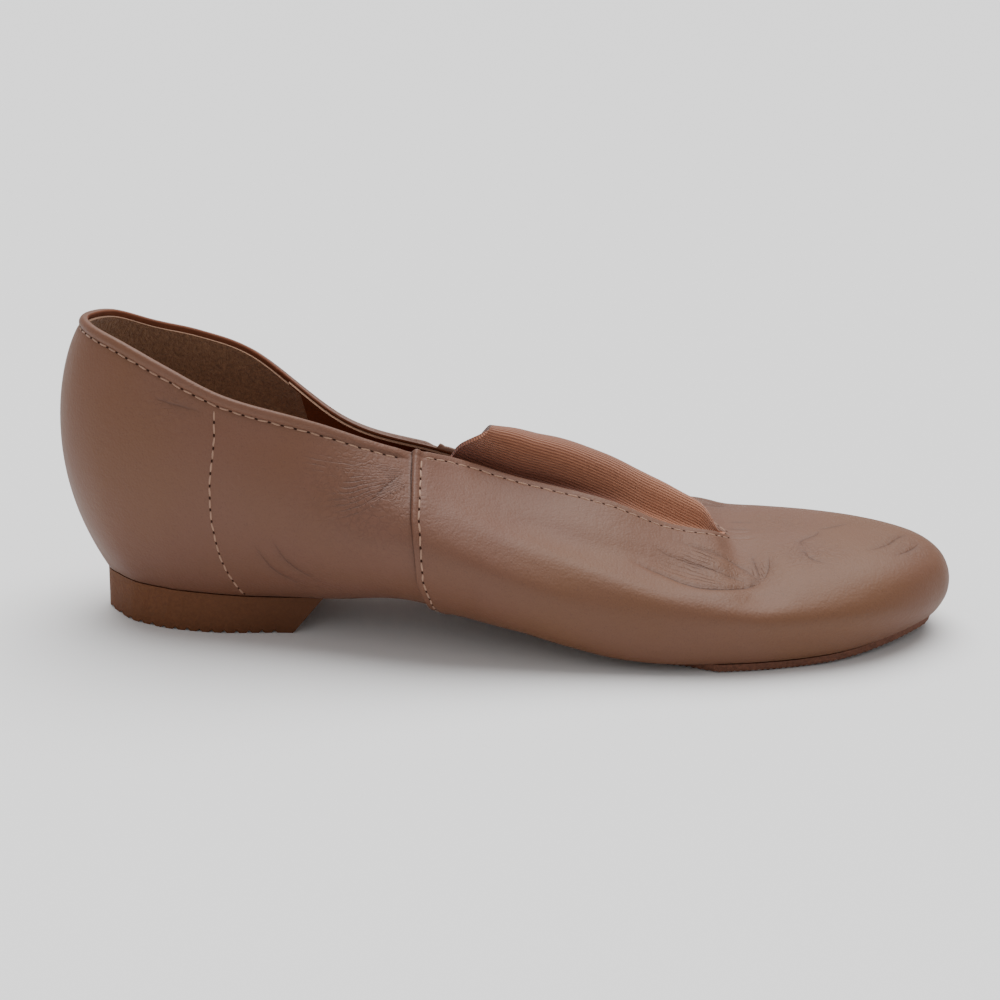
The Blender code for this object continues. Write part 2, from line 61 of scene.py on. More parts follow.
# One row a section, from the back of the heel to the tip of the toe, all as shares.
# along and top_along are of the length, from the back of the heel. across, top_across
# and tuck, how far the bottom edge lies inside the outline, are of the ball's width.
# flare is how straight the wall leaves the bottom edge. wide is the height of the
# widest point and top that of the upper edge, above the seat, of the section's own
# rise. side, out and down pull the curve between those two points.
COLUMNS = (
    "along", "across", "tuck", "flare", "wide", "top_along", "top_across", "top", "side", "out", "down",
)
OUTER_ROWS = (
    (0.004, 0.000, 0.125, 0.15, 0.574, 0.037, 0.000, 1.000, 0.50, 0.45, 0.12),
    (0.022, -0.160, 0.148, 0.15, 0.560, 0.056, -0.157, 0.996, 0.48, 0.42, 0.16),
    (0.058, -0.268, 0.148, 0.14, 0.534, 0.094, -0.245, 0.960, 0.44, 0.38, 0.22),
    (0.125, -0.341, 0.140, 0.12, 0.510, 0.144, -0.303, 0.888, 0.42, 0.32, 0.32),
    (0.196, -0.376, 0.140, 0.10, 0.488, 0.198, -0.333, 0.808, 0.40, 0.32, 0.34),
    (0.300, -0.423, 0.200, 0.03, 0.374, 0.298, -0.326, 0.720, 0.35, 0.45, 0.30),
    (0.399, -0.478, 0.236, 0.00, 0.520, 0.395, -0.240, 1.040, 0.42, 0.60, 0.38),
    (0.433, -0.489, 0.200, 0.00, 0.490, 0.436, -0.167, 0.970, 0.40, 0.60, 0.40),
    (0.508, -0.501, 0.117, 0.00, 0.386, 0.512, -0.135, 0.905, 0.35, 0.62, 0.48),
    (0.612, -0.505, 0.050, 0.00, 0.330, 0.610, -0.134, 0.878, 0.40, 0.65, 0.52),
    (0.695, -0.499, 0.034, 0.00, 0.280, 0.686, -0.103, 0.715, 0.50, 0.65, 0.50),
    (0.730, -0.487, 0.034, 0.00, 0.460, 0.727, -0.064, 1.100, 0.54, 0.66, 0.42),
    (0.760, -0.472, 0.034, 0.00, 0.444, 0.747, 0.000, 0.975, 0.60, 0.65, 0.35),
    (0.808, -0.436, 0.035, 0.00, 0.444, 0.790, 0.012, 0.978, 0.75, 0.60, 0.12),
    (0.862, -0.386, 0.040, 0.00, 0.448, 0.829, 0.020, 1.000, 0.80, 0.60, 0.03),
    (0.917, -0.302, 0.050, 0.00, 0.436, 0.864, 0.028, 1.000, 0.82, 0.60, 0.00),
    (0.964, -0.186, 0.052, 0.00, 0.420, 0.891, 0.033, 0.985, 0.80, 0.60, 0.00),
    (0.991, -0.078, 0.045, 0.00, 0.400, 0.909, 0.036, 0.975, 0.74, 0.57, 0.00),
    (1.000, 0.035, 0.041, 0.00, 0.390, 0.916, 0.037, 0.970, 0.70, 0.55, 0.00),
)
# The inner side's rows run between the same two ends.
INNER_ROWS = (
    (0.022, 0.149, 0.140, 0.15, 0.560, 0.054, 0.151, 0.982, 0.48, 0.42, 0.16),
    (0.058, 0.256, 0.138, 0.14, 0.534, 0.092, 0.230, 0.927, 0.44, 0.38, 0.22),
    (0.129, 0.326, 0.128, 0.12, 0.510, 0.142, 0.275, 0.880, 0.42, 0.32, 0.32),
    (0.208, 0.349, 0.122, 0.10, 0.470, 0.200, 0.291, 0.808, 0.40, 0.32, 0.34),
    (0.317, 0.343, 0.150, 0.03, 0.330, 0.310, 0.236, 0.555, 0.40, 0.45, 0.30),
    (0.429, 0.366, 0.140, 0.00, 0.490, 0.417, 0.131, 0.855, 0.45, 0.60, 0.35),
    (0.458, 0.384, 0.130, 0.00, 0.460, 0.446, 0.114, 0.838, 0.45, 0.60, 0.35),
    (0.521, 0.419, 0.110, 0.00, 0.405, 0.517, 0.110, 0.825, 0.48, 0.60, 0.38),
    (0.617, 0.465, 0.075, 0.00, 0.355, 0.610, 0.113, 0.818, 0.60, 0.65, 0.30),
    (0.696, 0.494, 0.060, 0.00, 0.290, 0.686, 0.094, 0.680, 0.70, 0.70, 0.15),
    (0.728, 0.499, 0.058, 0.00, 0.480, 0.727, 0.062, 1.060, 0.82, 0.72, 0.02),
    (0.756, 0.495, 0.058, 0.00, 0.466, 0.747, 0.000, 0.975, 0.92, 0.72, -0.08),
    (0.808, 0.477, 0.058, 0.00, 0.466, 0.790, 0.012, 0.978, 0.92, 0.70, -0.05),
    (0.867, 0.438, 0.058, 0.00, 0.455, 0.829, 0.020, 1.000, 0.88, 0.65, 0.00),
    (0.920, 0.358, 0.056, 0.00, 0.442, 0.864, 0.028, 1.000, 0.85, 0.60, 0.00),
    (0.962, 0.258, 0.052, 0.00, 0.422, 0.891, 0.033, 0.985, 0.80, 0.60, 0.00),
    (0.990, 0.148, 0.045, 0.00, 0.400, 0.909, 0.036, 0.975, 0.74, 0.57, 0.00),
)
# The underside of the foot: share of the length, of the heel's lift, of the toe spring.
SEAT_ROWS = (
    (0.000, 1.00, 0.0), (0.150, 0.96, 0.0), (0.300, 0.88, 0.0), (0.390, 1.06, 0.0), (0.450, 0.92, 0.0),
    (0.510, 0.66, 0.0), (0.570, 0.32, 0.0), (0.625, 0.07, 0.0), (0.670, 0.00, 0.0), (0.800, 0.00, 0.0),
    (0.870, 0.00, 0.24), (0.940, 0.00, 0.66), (1.000, 0.00, 1.0),
)
# The elastic's ridge: share of the throat from its rear end, share of the gusset's rise.
RIDGE_ROWS = (
    (0.00, 0.80), (0.20, 0.97), (0.36, 1.02), (0.52, 0.94), (0.66, 0.87), (0.76, 0.82),
    (0.85, 0.68), (0.90, 0.58), (0.95, 0.36), (1.00, 0.02),
)
# Its profile from the outer to the inner edge: share of the throat's width, of the rise and
# of the slant of its open rear end.
TENT_PROFILE = (
    (0.00, 0.00, 0.00), (0.10, 0.13, 0.08), (0.08, 0.40, 0.30), (0.03, 0.70, 0.85), (0.10, 0.93, 1.00),
    (0.30, 1.02, 1.00), (0.60, 1.02, 0.85), (0.85, 0.92, 0.68), (0.96, 0.52, 0.36), (1.00, 0.00, 0.00),
)
# The same near the throat's tip, where the elastic's foot spreads out before it rises.
NOSE_PROFILE = (
    (0.00, 0.00, 0.0), (0.15, 0.05, 0.0), (0.25, 0.18, 0.0), (0.30, 0.45, 0.0), (0.35, 0.76, 0.0),
    (0.47, 1.00, 0.0), (0.64, 1.02, 0.0), (0.82, 0.84, 0.0), (0.94, 0.44, 0.0), (1.00, 0.00, 0.0),
)
NOSE_SHARES = (0.30, 0.70)
# How far from the middle line of the toe its two sides are drawn together, in metres.
SPINE_REACH = 0.010
# Spacing of the leather's stations in metres, the rows in which they lie closer, and the
# stations round the vamp's seam, in rows from it.
LEATHER_SPACING, FINE_SPACING = 1.6 * MM, 0.72 * MM
FINE_ROWS = (5, 9, 10, 11, 12)
SEAM_STEPS = (-0.08, -0.03, 0.0, 0.012, 0.03, 0.055, 0.09, 0.14, 0.20, 0.27, 0.34, 0.42, 0.50)
# Fine relief of the leather: height, middle and half width of each form, in metres.
LAP_BULGE = (0.16 * MM, 0.8 * MM, 0.8 * MM)
LAP_GROOVE = (0.22 * MM, 1.9 * MM, 0.5 * MM)
ROLL_GROOVE = (0.18 * MM, 0.35 * MM, 0.45 * MM)
STITCH_GROOVE = (0.16 * MM, 2.3 * MM, 0.5 * MM)
# The painted shade of a needle hole: its length, width and height, its lift off the leather, and how deep a stitch
# lies.
HOLE_SIZE = (0.80 * MM, 0.52 * MM, 0.10 * MM)
HOLE_LIFT, THREAD_SINK = 0.01 * MM, 0.06 * MM
# Distance between the elastic's ribs and between the threads of its weft.
ELASTIC_RIBS, ELASTIC_WEFT = 0.78 * MM, 0.62 * MM
# The studio: half the floor's width and how far it lies below the shoe, the sky's strength
# as light and as the camera sees it, and the camera: its lens, its pitch, roll and yaw in
# radians, and its place from the back of the heel.
FLOOR_REACH, FLOOR_SINK = 30.0, 0.02 * MM
SKY_LIGHT, SKY_SEEN = 0.50, 1.44
CAMERA_LENS = 61.07
CAMERA_TURNS = (0.303, 0.0271, 0.0006)
CAMERA_PLACE = (0.118557, -0.437841, 0.169157)
# Places in those tables, in row numbers.
SEAM_ROW = 6.0
THROAT_REAR_ROW = 7.0
THROAT_TIP_ROW = 12.0
TOE_ROW = 18.0
COUNTER_ROW = 4.55
HEEL_FRONT_ROW = 5.0
PATCH_REAR_ROW = 8.35
ARCH_ROWS = (3.6, 10.6)
GUSSET_TIP_ROW = 11.84
PLAN_MIDDLE = (0.1212, -0.0003)
HEEL_CENTRE = 0.133
TOE_CENTRE = 0.850
MIDDLE_ACROSS = 0.045


def length_prop(name, description, default):
    """A length that a user can change, kept in metres."""
    return bpy.props.FloatProperty(
        name=name, description=description, default=default, min=0.0, precision=5, unit="LENGTH"
    )


def colour_prop(name, description, default):
    """A linear colour that a user can change."""
    return bpy.props.FloatVectorProperty(
        name=name, description=description, default=default, min=0.0, max=1.0, size=3, subtype="COLOR"
    )


class ShoeSizes(bpy.types.PropertyGroup):
    """Sizes of the shoe."""

    length: length_prop("Length", "From the back of the heel to the tip of the toe", 0.2414)
    ball_width: length_prop("Ball width", "Width of the upper at the ball of the foot", 0.0858)
    quarter_rise: length_prop("Quarter rise", "Height of the back of the upper above its seat", 0.0695)
    instep_rise: length_prop("Instep rise", "Height of the upper at the instep", 0.0380)
    toe_rise: length_prop("Toe rise", "Height of the upper at the toes", 0.0225)
    toe_spring: length_prop("Toe spring", "Lift of the sole at the tip of the toe", 0.0030)
    heel_height: length_prop("Heel height", "Height of the heel block", 0.0108)
    sole_thickness: length_prop("Sole thickness", "Thickness of the forefoot sole", 0.0022)
    gap: length_prop("Gap", "Clearance between pieces that lie on each other", 0.0003)
    wall: length_prop("Wall", "Thickness of leather and lining together", 0.0018)
    leather: length_prop("Leather", "Thickness of the leather by itself", 0.0011)
    lap_step: length_prop("Lap step", "How far the vamp stands over the quarter", 0.0009)
    lap_length: length_prop("Lap length", "Distance over which the vamp's step dies out", 0.0220)
    margin: length_prop("Margin", "Width of the leather turned under the foot", 0.0100)
    roll_width: length_prop("Roll width", "Width of the folded topline", 0.0027)
    roll_height: length_prop("Roll height", "How far the folded topline bulges", 0.0007)
    insole: length_prop("Insole", "Thickness of the insole", 0.0014)
    insole_gap: length_prop("Insole gap", "Clearance under the insole", 0.0005)
    elastic: length_prop("Elastic", "Thickness of the elastic", 0.0012)
    elastic_margin: length_prop("Elastic margin", "Width of elastic sewn under the leather", 0.0060)
    gusset_rise: length_prop("Gusset rise", "Height of the elastic's loop over the throat", 0.0125)
    gusset_slant: length_prop("Gusset slant", "How far the loop's rear end leans forwards", 0.0105)
    breast_slant: length_prop("Breast slant", "How far the heel's front runs in under itself", 0.0080)
    heel_flare: length_prop("Heel flare", "How much wider the heel is at the floor, on each side", 0.0010)
    rib_pitch: length_prop("Rib pitch", "Distance between the grooves of the heel", 0.0033)
    rib_depth: length_prop("Rib depth", "Depth of the grooves of the heel", 0.0008)
    stitch_pitch: length_prop("Stitch pitch", "Distance between stitches", 0.0033)
    thread: length_prop("Thread", "Diameter of the sewing thread", 0.00056)


class ShoeColours(bpy.types.PropertyGroup):
    """Colours of the shoe."""

    leather: colour_prop("Leather", "Tan leather", (0.134, 0.055, 0.031))
    elastic: colour_prop("Elastic", "Ribbed elastic", (0.32, 0.124, 0.064))
    counter: colour_prop("Counter lining", "Fuzzy lining of the heel", (0.225, 0.130, 0.082))
    lining: colour_prop("Lining", "Leather lining", (0.16, 0.050, 0.022))
    edge: colour_prop("Raw edge", "Cut edge of the lining", (0.40, 0.23, 0.15))
    # The forefoot sole's colour is a darker brown than the heel's rubber: painted shade.
    sole: colour_prop("Forefoot sole", "Brown rubber", (0.108, 0.050, 0.034))
    heel: colour_prop("Heel", "Tan rubber", (0.20, 0.072, 0.026))
    thread: colour_prop("Thread", "Sewing thread", (0.34, 0.195, 0.130))
    floor: colour_prop("Floor", "Pale floor", (0.86, 0.86, 0.86))


def table_curve(xs, ys, x):
    """Smooth curve through a table's points, read at x, that never swings past a point."""
    widths, steps = np.diff(xs), np.diff(ys) / np.diff(xs)
    slopes = np.array([steps[0], *np.zeros(len(xs) - 2), steps[-1]])
    for k in range(1, len(xs) - 1):
        if steps[k - 1] * steps[k] > 0:
            near, far = 2 * widths[k] + widths[k - 1], widths[k] + 2 * widths[k - 1]
            slopes[k] = (near + far) / (near / steps[k - 1] + far / steps[k])
    k = int(np.clip(np.searchsorted(xs, x) - 1, 0, len(xs) - 2))
    f = min(max((x - xs[k]) / widths[k], 0.0), 1.0)
    start = (2 * f ** 3 - 3 * f ** 2 + 1) * ys[k] + (f ** 3 - 2 * f ** 2 + f) * widths[k] * slopes[k]
    end = (3 * f ** 2 - 2 * f ** 3) * ys[k + 1] + (f ** 3 - f ** 2) * widths[k] * slopes[k + 1]
    return float(start + end)


def loop_spline(rows, t):
    """Smooth value of a closed loop of rows, at t in row numbers, allowing for their spacing."""
    i = math.floor(t)
    f = t - i
    a, b, c, d = (rows[(i + k) % len(rows)] for k in (-1, 0, 1, 2))
    before, width, after = (np.linalg.norm((q - p)[:2]) for p, q in ((a, b), (b, c), (c, d)))
    start = ((b - a) / before * width + (c - b) / width * before) / (before + width)
    end = ((c - b) / width * after + (d - c) / after * width) / (width + after)
    return (
        (2 * f ** 3 - 3 * f ** 2 + 1) * b + (f ** 3 - 2 * f ** 2 + f) * width * start
        + (3 * f ** 2 - 2 * f ** 3) * c + (f ** 3 - f ** 2) * width * end
    )


def bezier(a, b, c, d, t):
    """Points of a cubic curve, one for each t."""
    t = np.asarray(t, float)[:, None]
    return (1 - t) ** 3 * a + 3 * t * (1 - t) ** 2 * b + 3 * t ** 2 * (1 - t) * c + t ** 3 * d


def smooth(low, high, x):
    """Soft step from 0 at low to 1 at high."""
    f = np.clip((np.asarray(x, float) - low) / (high - low), 0.0, 1.0)
    return f * f * (3 - 2 * f)


def bump(centre, width, x):
    """Soft hump of height 1."""
    return np.exp(-(((np.asarray(x, float) - centre) / width) ** 2))

def form(shape, x):
    """Soft ridge given by its height, middle and half width."""
    height, middle, half = shape
    return height * bump(middle, half, x)

def travelled(points, axis=0):
    """Distance gone along rows of points, from 0 at the first."""
    steps = np.linalg.norm(np.diff(points, axis=axis), axis=-1)
    return np.concatenate([0 * np.take(steps, [0], axis=axis), np.cumsum(steps, axis=axis)], axis=axis)

def between(low, high, shares):
    """Rows of points between two lines of points, at shares of the way."""
    return low[:, None] * (1 - shares[None, :, None]) + high[:, None] * shares[None, :, None]


class Last:
    """The form of the leather, worked out from the sizes."""

    def __init__(self, sizes):
        self.s = sizes
        along, lift, spring = np.array(SEAT_ROWS).T
        fine = np.linspace(0.0, 1.0, 400)
        rise = lift * (sizes.heel_height - sizes.sole_thickness) + spring * sizes.toe_spring
        self.seat_along = fine * sizes.length
        self.seat_rise = np.array([table_curve(along, rise, x) for x in fine])
        rises = (sizes.quarter_rise,) * 6 + (sizes.instep_rise,) * 5 + (sizes.toe_rise,) * 8
        loop = list(zip(OUTER_ROWS, rises)) + list(zip(INNER_ROWS, rises[1:]))[::-1]
        self.rows = [self.row(dict(zip(COLUMNS, row)), rise) for row, rise in loop]
        self.count = len(self.rows)

    def row(self, v, rise):
        """One row of the tables, in metres."""
        length, width = self.s.length, self.s.ball_width
        x, top_x = v["along"] * length, v["top_along"] * length
        return np.array([
            x, v["across"] * width, v["tuck"] * width, v["flare"], self.seat(x) + v["wide"] * rise,
            top_x, v["top_across"] * width, self.seat(top_x) + v["top"] * rise, v["side"], v["out"], v["down"],
        ])

    def seat(self, x):
        """Height of the leather's underside at a distance from the back of the heel."""
        return self.s.sole_thickness + self.s.gap + np.interp(x, self.seat_along, self.seat_rise)

    def inward(self, point):
        """Level direction from a point of the outline to the middle line of the foot."""
        length = self.s.length
        x = min(max(point[0], HEEL_CENTRE * length), TOE_CENTRE * length)
        y = MIDDLE_ACROSS * self.s.ball_width * point[0] / length
        way = np.array([x - point[0], y - point[1], 0.0])
        return way / np.linalg.norm(way)

    def on_seat(self, point):
        """The point moved up or down onto the seat."""
        return np.array([point[0], point[1], self.seat(point[0])])

    def section(self, t):
        """The section at loop parameter t: its lower and upper curves."""
        x, y, tuck, flare, wide_z, top_x, top_y, top_z, side, out, down = loop_spline(self.rows, t)
        wide, up = np.array([x, y, wide_z]), np.array([0.0, 0.0, 1.0])
        inward = self.inward(wide)
        bottom = self.on_seat(wide + inward * tuck)
        top = np.array([top_x, top_y, top_z])
        lift, height = wide_z - bottom[2], top_z - wide_z
        low_pull = bottom - inward * tuck * (0.5 - 1.2 * flare) + up * lift * flare
        high_pull = top + (wide - top) * np.array([out, out, 0.0]) - up * height * down
        low = (bottom, low_pull, wide - up * lift * 0.5, wide)
        return low, (wide, wide + up * height * side, high_pull, top)

    def strip(self, t):
        """The section as points from the upper edge down and under, with their distances from the edge."""
        low, high = self.section(t)
        bottom = low[0]
        margin = self.on_seat(bottom + self.inward(bottom) * self.s.margin)
        line = np.concatenate([
            bezier(*high, np.linspace(1.0, 0.0, 60)), bezier(*low, np.linspace(1.0, 0.0, 30)[1:]),
        ])
        distance = travelled(line)
        depth = distance[-1]
        under = [bottom + (margin - bottom) * k / 4 for k in range(1, 5)]
        line = np.concatenate([line, under])
        distance = np.concatenate([distance, depth + self.s.margin * np.arange(1, 5) / 4])
        return line, distance, depth

    def stations(self, spacing, start=0.0, end=TOE_ROW, extra=(), fine=None):
        """Stations of one side, in row numbers, no further apart than the spacing; closer in fine rows."""
        found = []
        coarse = spacing
        for k in range(int(TOE_ROW)):
            spacing = fine[1] if fine and k in fine[0] else coarse
            a, b = self.rows[k][:2], self.rows[k + 1][:2]
            c, d = self.rows[(-k) % self.count][:2], self.rows[(-k - 1) % self.count][:2]
            steps = math.ceil(max(np.linalg.norm(b - a), np.linalg.norm(d - c)) / spacing)
            found += [k + f / steps for f in range(steps)]
        found = [t for t in found if start < t < end] + [start, end]
        found = [t for t in found if all(abs(t - e) > 0.02 for e in extra)] + list(extra)
        return np.array(sorted(set(found)))


class Skin:
    """A surface round the whole shoe at some depth from the last's face, with its fine relief."""

    def __init__(self, last, stations, distances):
        self.last, self.stations = last, stations
        half = list(stations)
        self.loop = np.array(half + [last.count - t for t in half[-2:0:-1]])
        strips = [last.strip(t) for t in self.loop]
        self.depths = np.array([s[2] for s in strips])
        self.distances = np.array([distances(s[2]) for s in strips])
        self.base = np.array([
            [np.interp(d, s[1], s[0][:, k]) for k in range(3)] for s, d in zip(strips, self.distances)
        ]).transpose(0, 2, 1)
        self.rows = np.where(self.loop > TOE_ROW, last.count - self.loop, self.loop)
        self.lean()
        self.normals = self.find_normals(self.base)
        self.marks = np.zeros(self.distances.shape)
        self.height = self.relief()
        self.face = self.base + self.normals * self.height[:, :, None]
        self.face_normals = self.find_normals(self.face)

    def lean(self):
        """Slide the grid forwards round the vamp's seam, more and more on the way down."""
        shares, rows = np.array(SEAM_LEAN).T
        slide = np.interp(self.distances / self.depths[:, None], shares, rows)
        slide *= (smooth(4.6, SEAM_ROW, self.rows) * (1 - smooth(SEAM_ROW + 0.4, 9.2, self.rows)))[:, None]
        ways = np.where(self.loop > TOE_ROW, -1.0, 1.0)[:, None]
        straight = self.base.copy()
        for j in range(straight.shape[1]):
            for k in range(3):
                places = self.loop + (ways * slide)[:, j]
                self.base[:, j, k] = np.interp(places, self.loop, straight[:, j, k])

    def find_normals(self, points):
        """Outward normals of the grid, the same for both sides where they meet along the middle."""
        along = np.roll(points, -1, axis=0) - np.roll(points, 1, axis=0)
        normals = np.cross(np.gradient(points, axis=1), along)
        normals /= np.maximum(np.linalg.norm(normals, axis=2, keepdims=True), 1e-12)
        for i, k in self.partners():
            mean = normals[i, 0] + normals[k, 0]
            normals[i, 0] = normals[k, 0] = mean / np.linalg.norm(mean)
        return normals

    def partners(self):
        """Pairs of stations whose upper edges are one, in front of the throat."""
        end = 2 * (len(self.stations) - 1)
        return [(i, end - i) for i, t in enumerate(self.stations) if THROAT_TIP_ROW <= t < TOE_ROW]

    def relief(self):
        """Height of the surface over the last: lap, rolled topline, stitch grooves, folds and creases."""
        s, rows, d = self.last.s, self.rows[:, None], self.distances
        ahead = np.array([loop_spline(self.last.rows, t)[0] for t in self.loop])
        outer_seam, inner_seam = (self.last.rows[k][0] for k in (int(SEAM_ROW), -int(SEAM_ROW)))
        ahead = (ahead - np.where(self.loop <= TOE_ROW, outer_seam, inner_seam))[:, None]
        on_vamp = rows > SEAM_ROW
        lap = np.where(on_vamp, s.lap_step * np.clip(1 - ahead / s.lap_length, 0.0, 1.0), 0.0)
        lap += on_vamp * (form(LAP_BULGE, ahead) - form(LAP_GROOVE, ahead))
        lap = lap * smooth(0.0, 0.35 * MM, np.maximum(ahead, 0.0)) * on_vamp * (
            1 + 0.6 * bump(0.0, 3.5 * MM, d) * (self.loop <= TOE_ROW)[:, None]
        )
        share = np.clip((d - 0.5 * s.roll_width) / (0.5 * s.roll_width), -1.0, 1.0)
        roll = s.roll_height * np.sqrt(1 - share ** 2) * (d < s.roll_width)
        roll -= form(ROLL_GROOVE, d - s.roll_width)
        roll *= np.where(on_vamp, 0.0, smooth(0.0, 4 * MM, -ahead))
        edge = on_vamp * (rows < THROAT_TIP_ROW + 0.6) * -form(STITCH_GROOVE, d)
        self.folds = self.creases()
        # Painted shadow: a thin line along the vamp's cut edge is marked to darken the leather's colour.
        cut = np.broadcast_to(np.abs(ahead + 0.10 * MM) < 0.25 * MM, d.shape)
        self.marks, self.gap = np.where(cut, 0.9, self.marks), np.where(cut, 0.0, self.gap)
        return lap + roll + edge + self.folds

    def creases(self):
        """Folds and creases placed as soft troughs and ridges; notes where the fine lines run."""
        height = np.zeros(self.distances.shape)
        self.gap = np.full(self.distances.shape, 9.0)
        for side, places, depth, width in FOLDS:
            line = self.fold_line(side, places)
            reach = (3 * width + 2) * MM
            low, high = line.min(axis=0) - reach, line.max(axis=0) + reach
            near = np.all((self.base > low) & (self.base < high), axis=2)
            ways = self.base[near][:, None, :] - line[None, :, :]
            gaps = np.linalg.norm(ways, axis=2)
            nearest = gaps.argmin(axis=1)
            gaps = gaps.min(axis=1)
            fade = np.sin(np.pi * np.clip(nearest / (len(line) - 1), 0.02, 0.98)) ** 0.6
            height[near] += depth * MM * fade * bump(0.0, width * MM, gaps)
            # Narrow troughs are noted in marks and gap, which darken the leather's colour as painted shade along
            # them.
            if depth < 0 and width < 1.5:
                tangent = np.gradient(line, axis=0)[nearest]
                across = np.cross(tangent, self.normals[near])
                way = ways[np.arange(len(nearest)), nearest]
                signed = np.sign(np.sum(across * way, axis=1)) * gaps / MM
                closer = np.abs(signed) < np.abs(self.gap[near])
                self.gap[near] = np.where(closer, signed, self.gap[near])
                strength = fade * min(1.0, 0.36 - 0.55 * depth) * bump(0.0, 1.5 * MM, gaps)
                self.marks[near] = np.maximum(self.marks[near], strength)
        return height

    def fans(self):
        """Number of the crease of a fan that runs through each point, and how strong it is; the strength darkens the
        leather as painted shade.
        """
        numbers, strengths = np.zeros(self.distances.shape), np.zeros(self.distances.shape)
        shares = self.distances / self.depths[:, None]
        sides = np.where(self.loop <= TOE_ROW, -1, 1)
        lengthwise, downwards = 7.0, 50.0
        for side, first, last_line, count, most in FANS:
            places = np.array((first, last_line), float)
            u = np.linspace(0.0, len(first) - 1, 160)
            edges = np.array([[catmull(p[:, k], u) for k in (0, 1)] for p in places]).transpose(0, 2, 1)
            near = (sides == side)[:, None] & (self.rows[:, None] > edges[..., 0].min() - 0.3)
            near = near & (self.rows[:, None] < edges[..., 0].max() + 0.3) & (shares < edges[..., 1].max() + 0.1)
            spot = np.stack([np.broadcast_to(self.rows[:, None], shares.shape)[near], shares[near]], axis=1)
            scale = np.array([lengthwise, downwards])
            start, way = edges[0] * scale, (edges[1] - edges[0]) * scale
            reach = spot[:, None, :] * scale - start[None]
            v = np.clip(np.sum(reach * way, axis=2) / np.sum(way * way, axis=1), -0.05, 1.05)
            miss = np.linalg.norm(reach - v[..., None] * way, axis=2)
            best = miss.argmin(axis=1)
            pick = np.arange(len(best))
            across, along, off = v[pick, best], best / (len(u) - 1), miss[pick, best]
            strength = most * smooth(0.0, 0.12, across) * (1 - smooth(0.88, 1.0, across)) * bump(0.0, 1.0, off)
            strength *= smooth(0.0, 0.30, along) * (1 - smooth(0.94, 1.0, along))
            numbers[near] = np.where(strength > strengths[near], across * count, numbers[near])
            strengths[near] = np.maximum(strength, strengths[near])
        return numbers, strengths

    def wrinkled(self):
        """Strength of the fine wrinkles over the grid, which darkens the leather as painted shade."""
        strength = np.zeros(self.distances.shape)
        for side, row, share, radius, most in WRINKLED:
            points, distance, depth = self.last.strip(row if side < 0 else self.last.count - row)
            centre = [np.interp(share * depth, distance, points[:, k]) for k in range(3)]
            gaps = np.linalg.norm(self.base - np.array(centre), axis=2)
            strength = np.maximum(strength, most * bump(0.0, radius * MM, gaps))
        return strength

    def fold_line(self, side, places):
        """A fold's line on the last, through places given as row and share of the way down."""
        places = np.array(places, float)
        t = np.linspace(0.0, len(places) - 1, 14 * (len(places) - 1) + 1)
        rows, shares = (catmull(places[:, k], t) for k in (0, 1))
        line = []
        for row, share in zip(rows, shares):
            points, distance, depth = self.last.strip(row if side < 0 else self.last.count - row)
            line.append([np.interp(share * depth, distance, points[:, k]) for k in range(3)])
        return np.array(line)

    def at(self, t, distance):
        """Point and normal of the face at a loop parameter and a distance from the upper edge."""
        k = int(np.clip(np.searchsorted(self.loop, t) - 1, 0, len(self.loop) - 2))
        f = (t - self.loop[k]) / (self.loop[k + 1] - self.loop[k])
        found = []
        for grid in (self.face, self.face_normals):
            a, b = (
                np.array([np.interp(distance, self.distances[i], grid[i, :, c]) for c in range(3)])
                for i in (k, k + 1)
            )
            found.append(a * (1 - f) + b * f)
        return found[0], found[1] / np.linalg.norm(found[1])


def catmull(values, t):
    """Smooth curve through evenly numbered values."""
    padded = np.concatenate([[2 * values[0] - values[1]], values, [2 * values[-1] - values[-2]]])
    i = np.clip(np.floor(t).astype(int), 0, len(values) - 2)
    f = t - i
    a, b, c, d = (padded[i + k] for k in range(4))
    return 0.5 * (
        2 * b + (c - a) * f + (2 * a - 5 * b + 4 * c - d) * f ** 2 + (3 * b - a - 3 * c + d) * f ** 3
    )


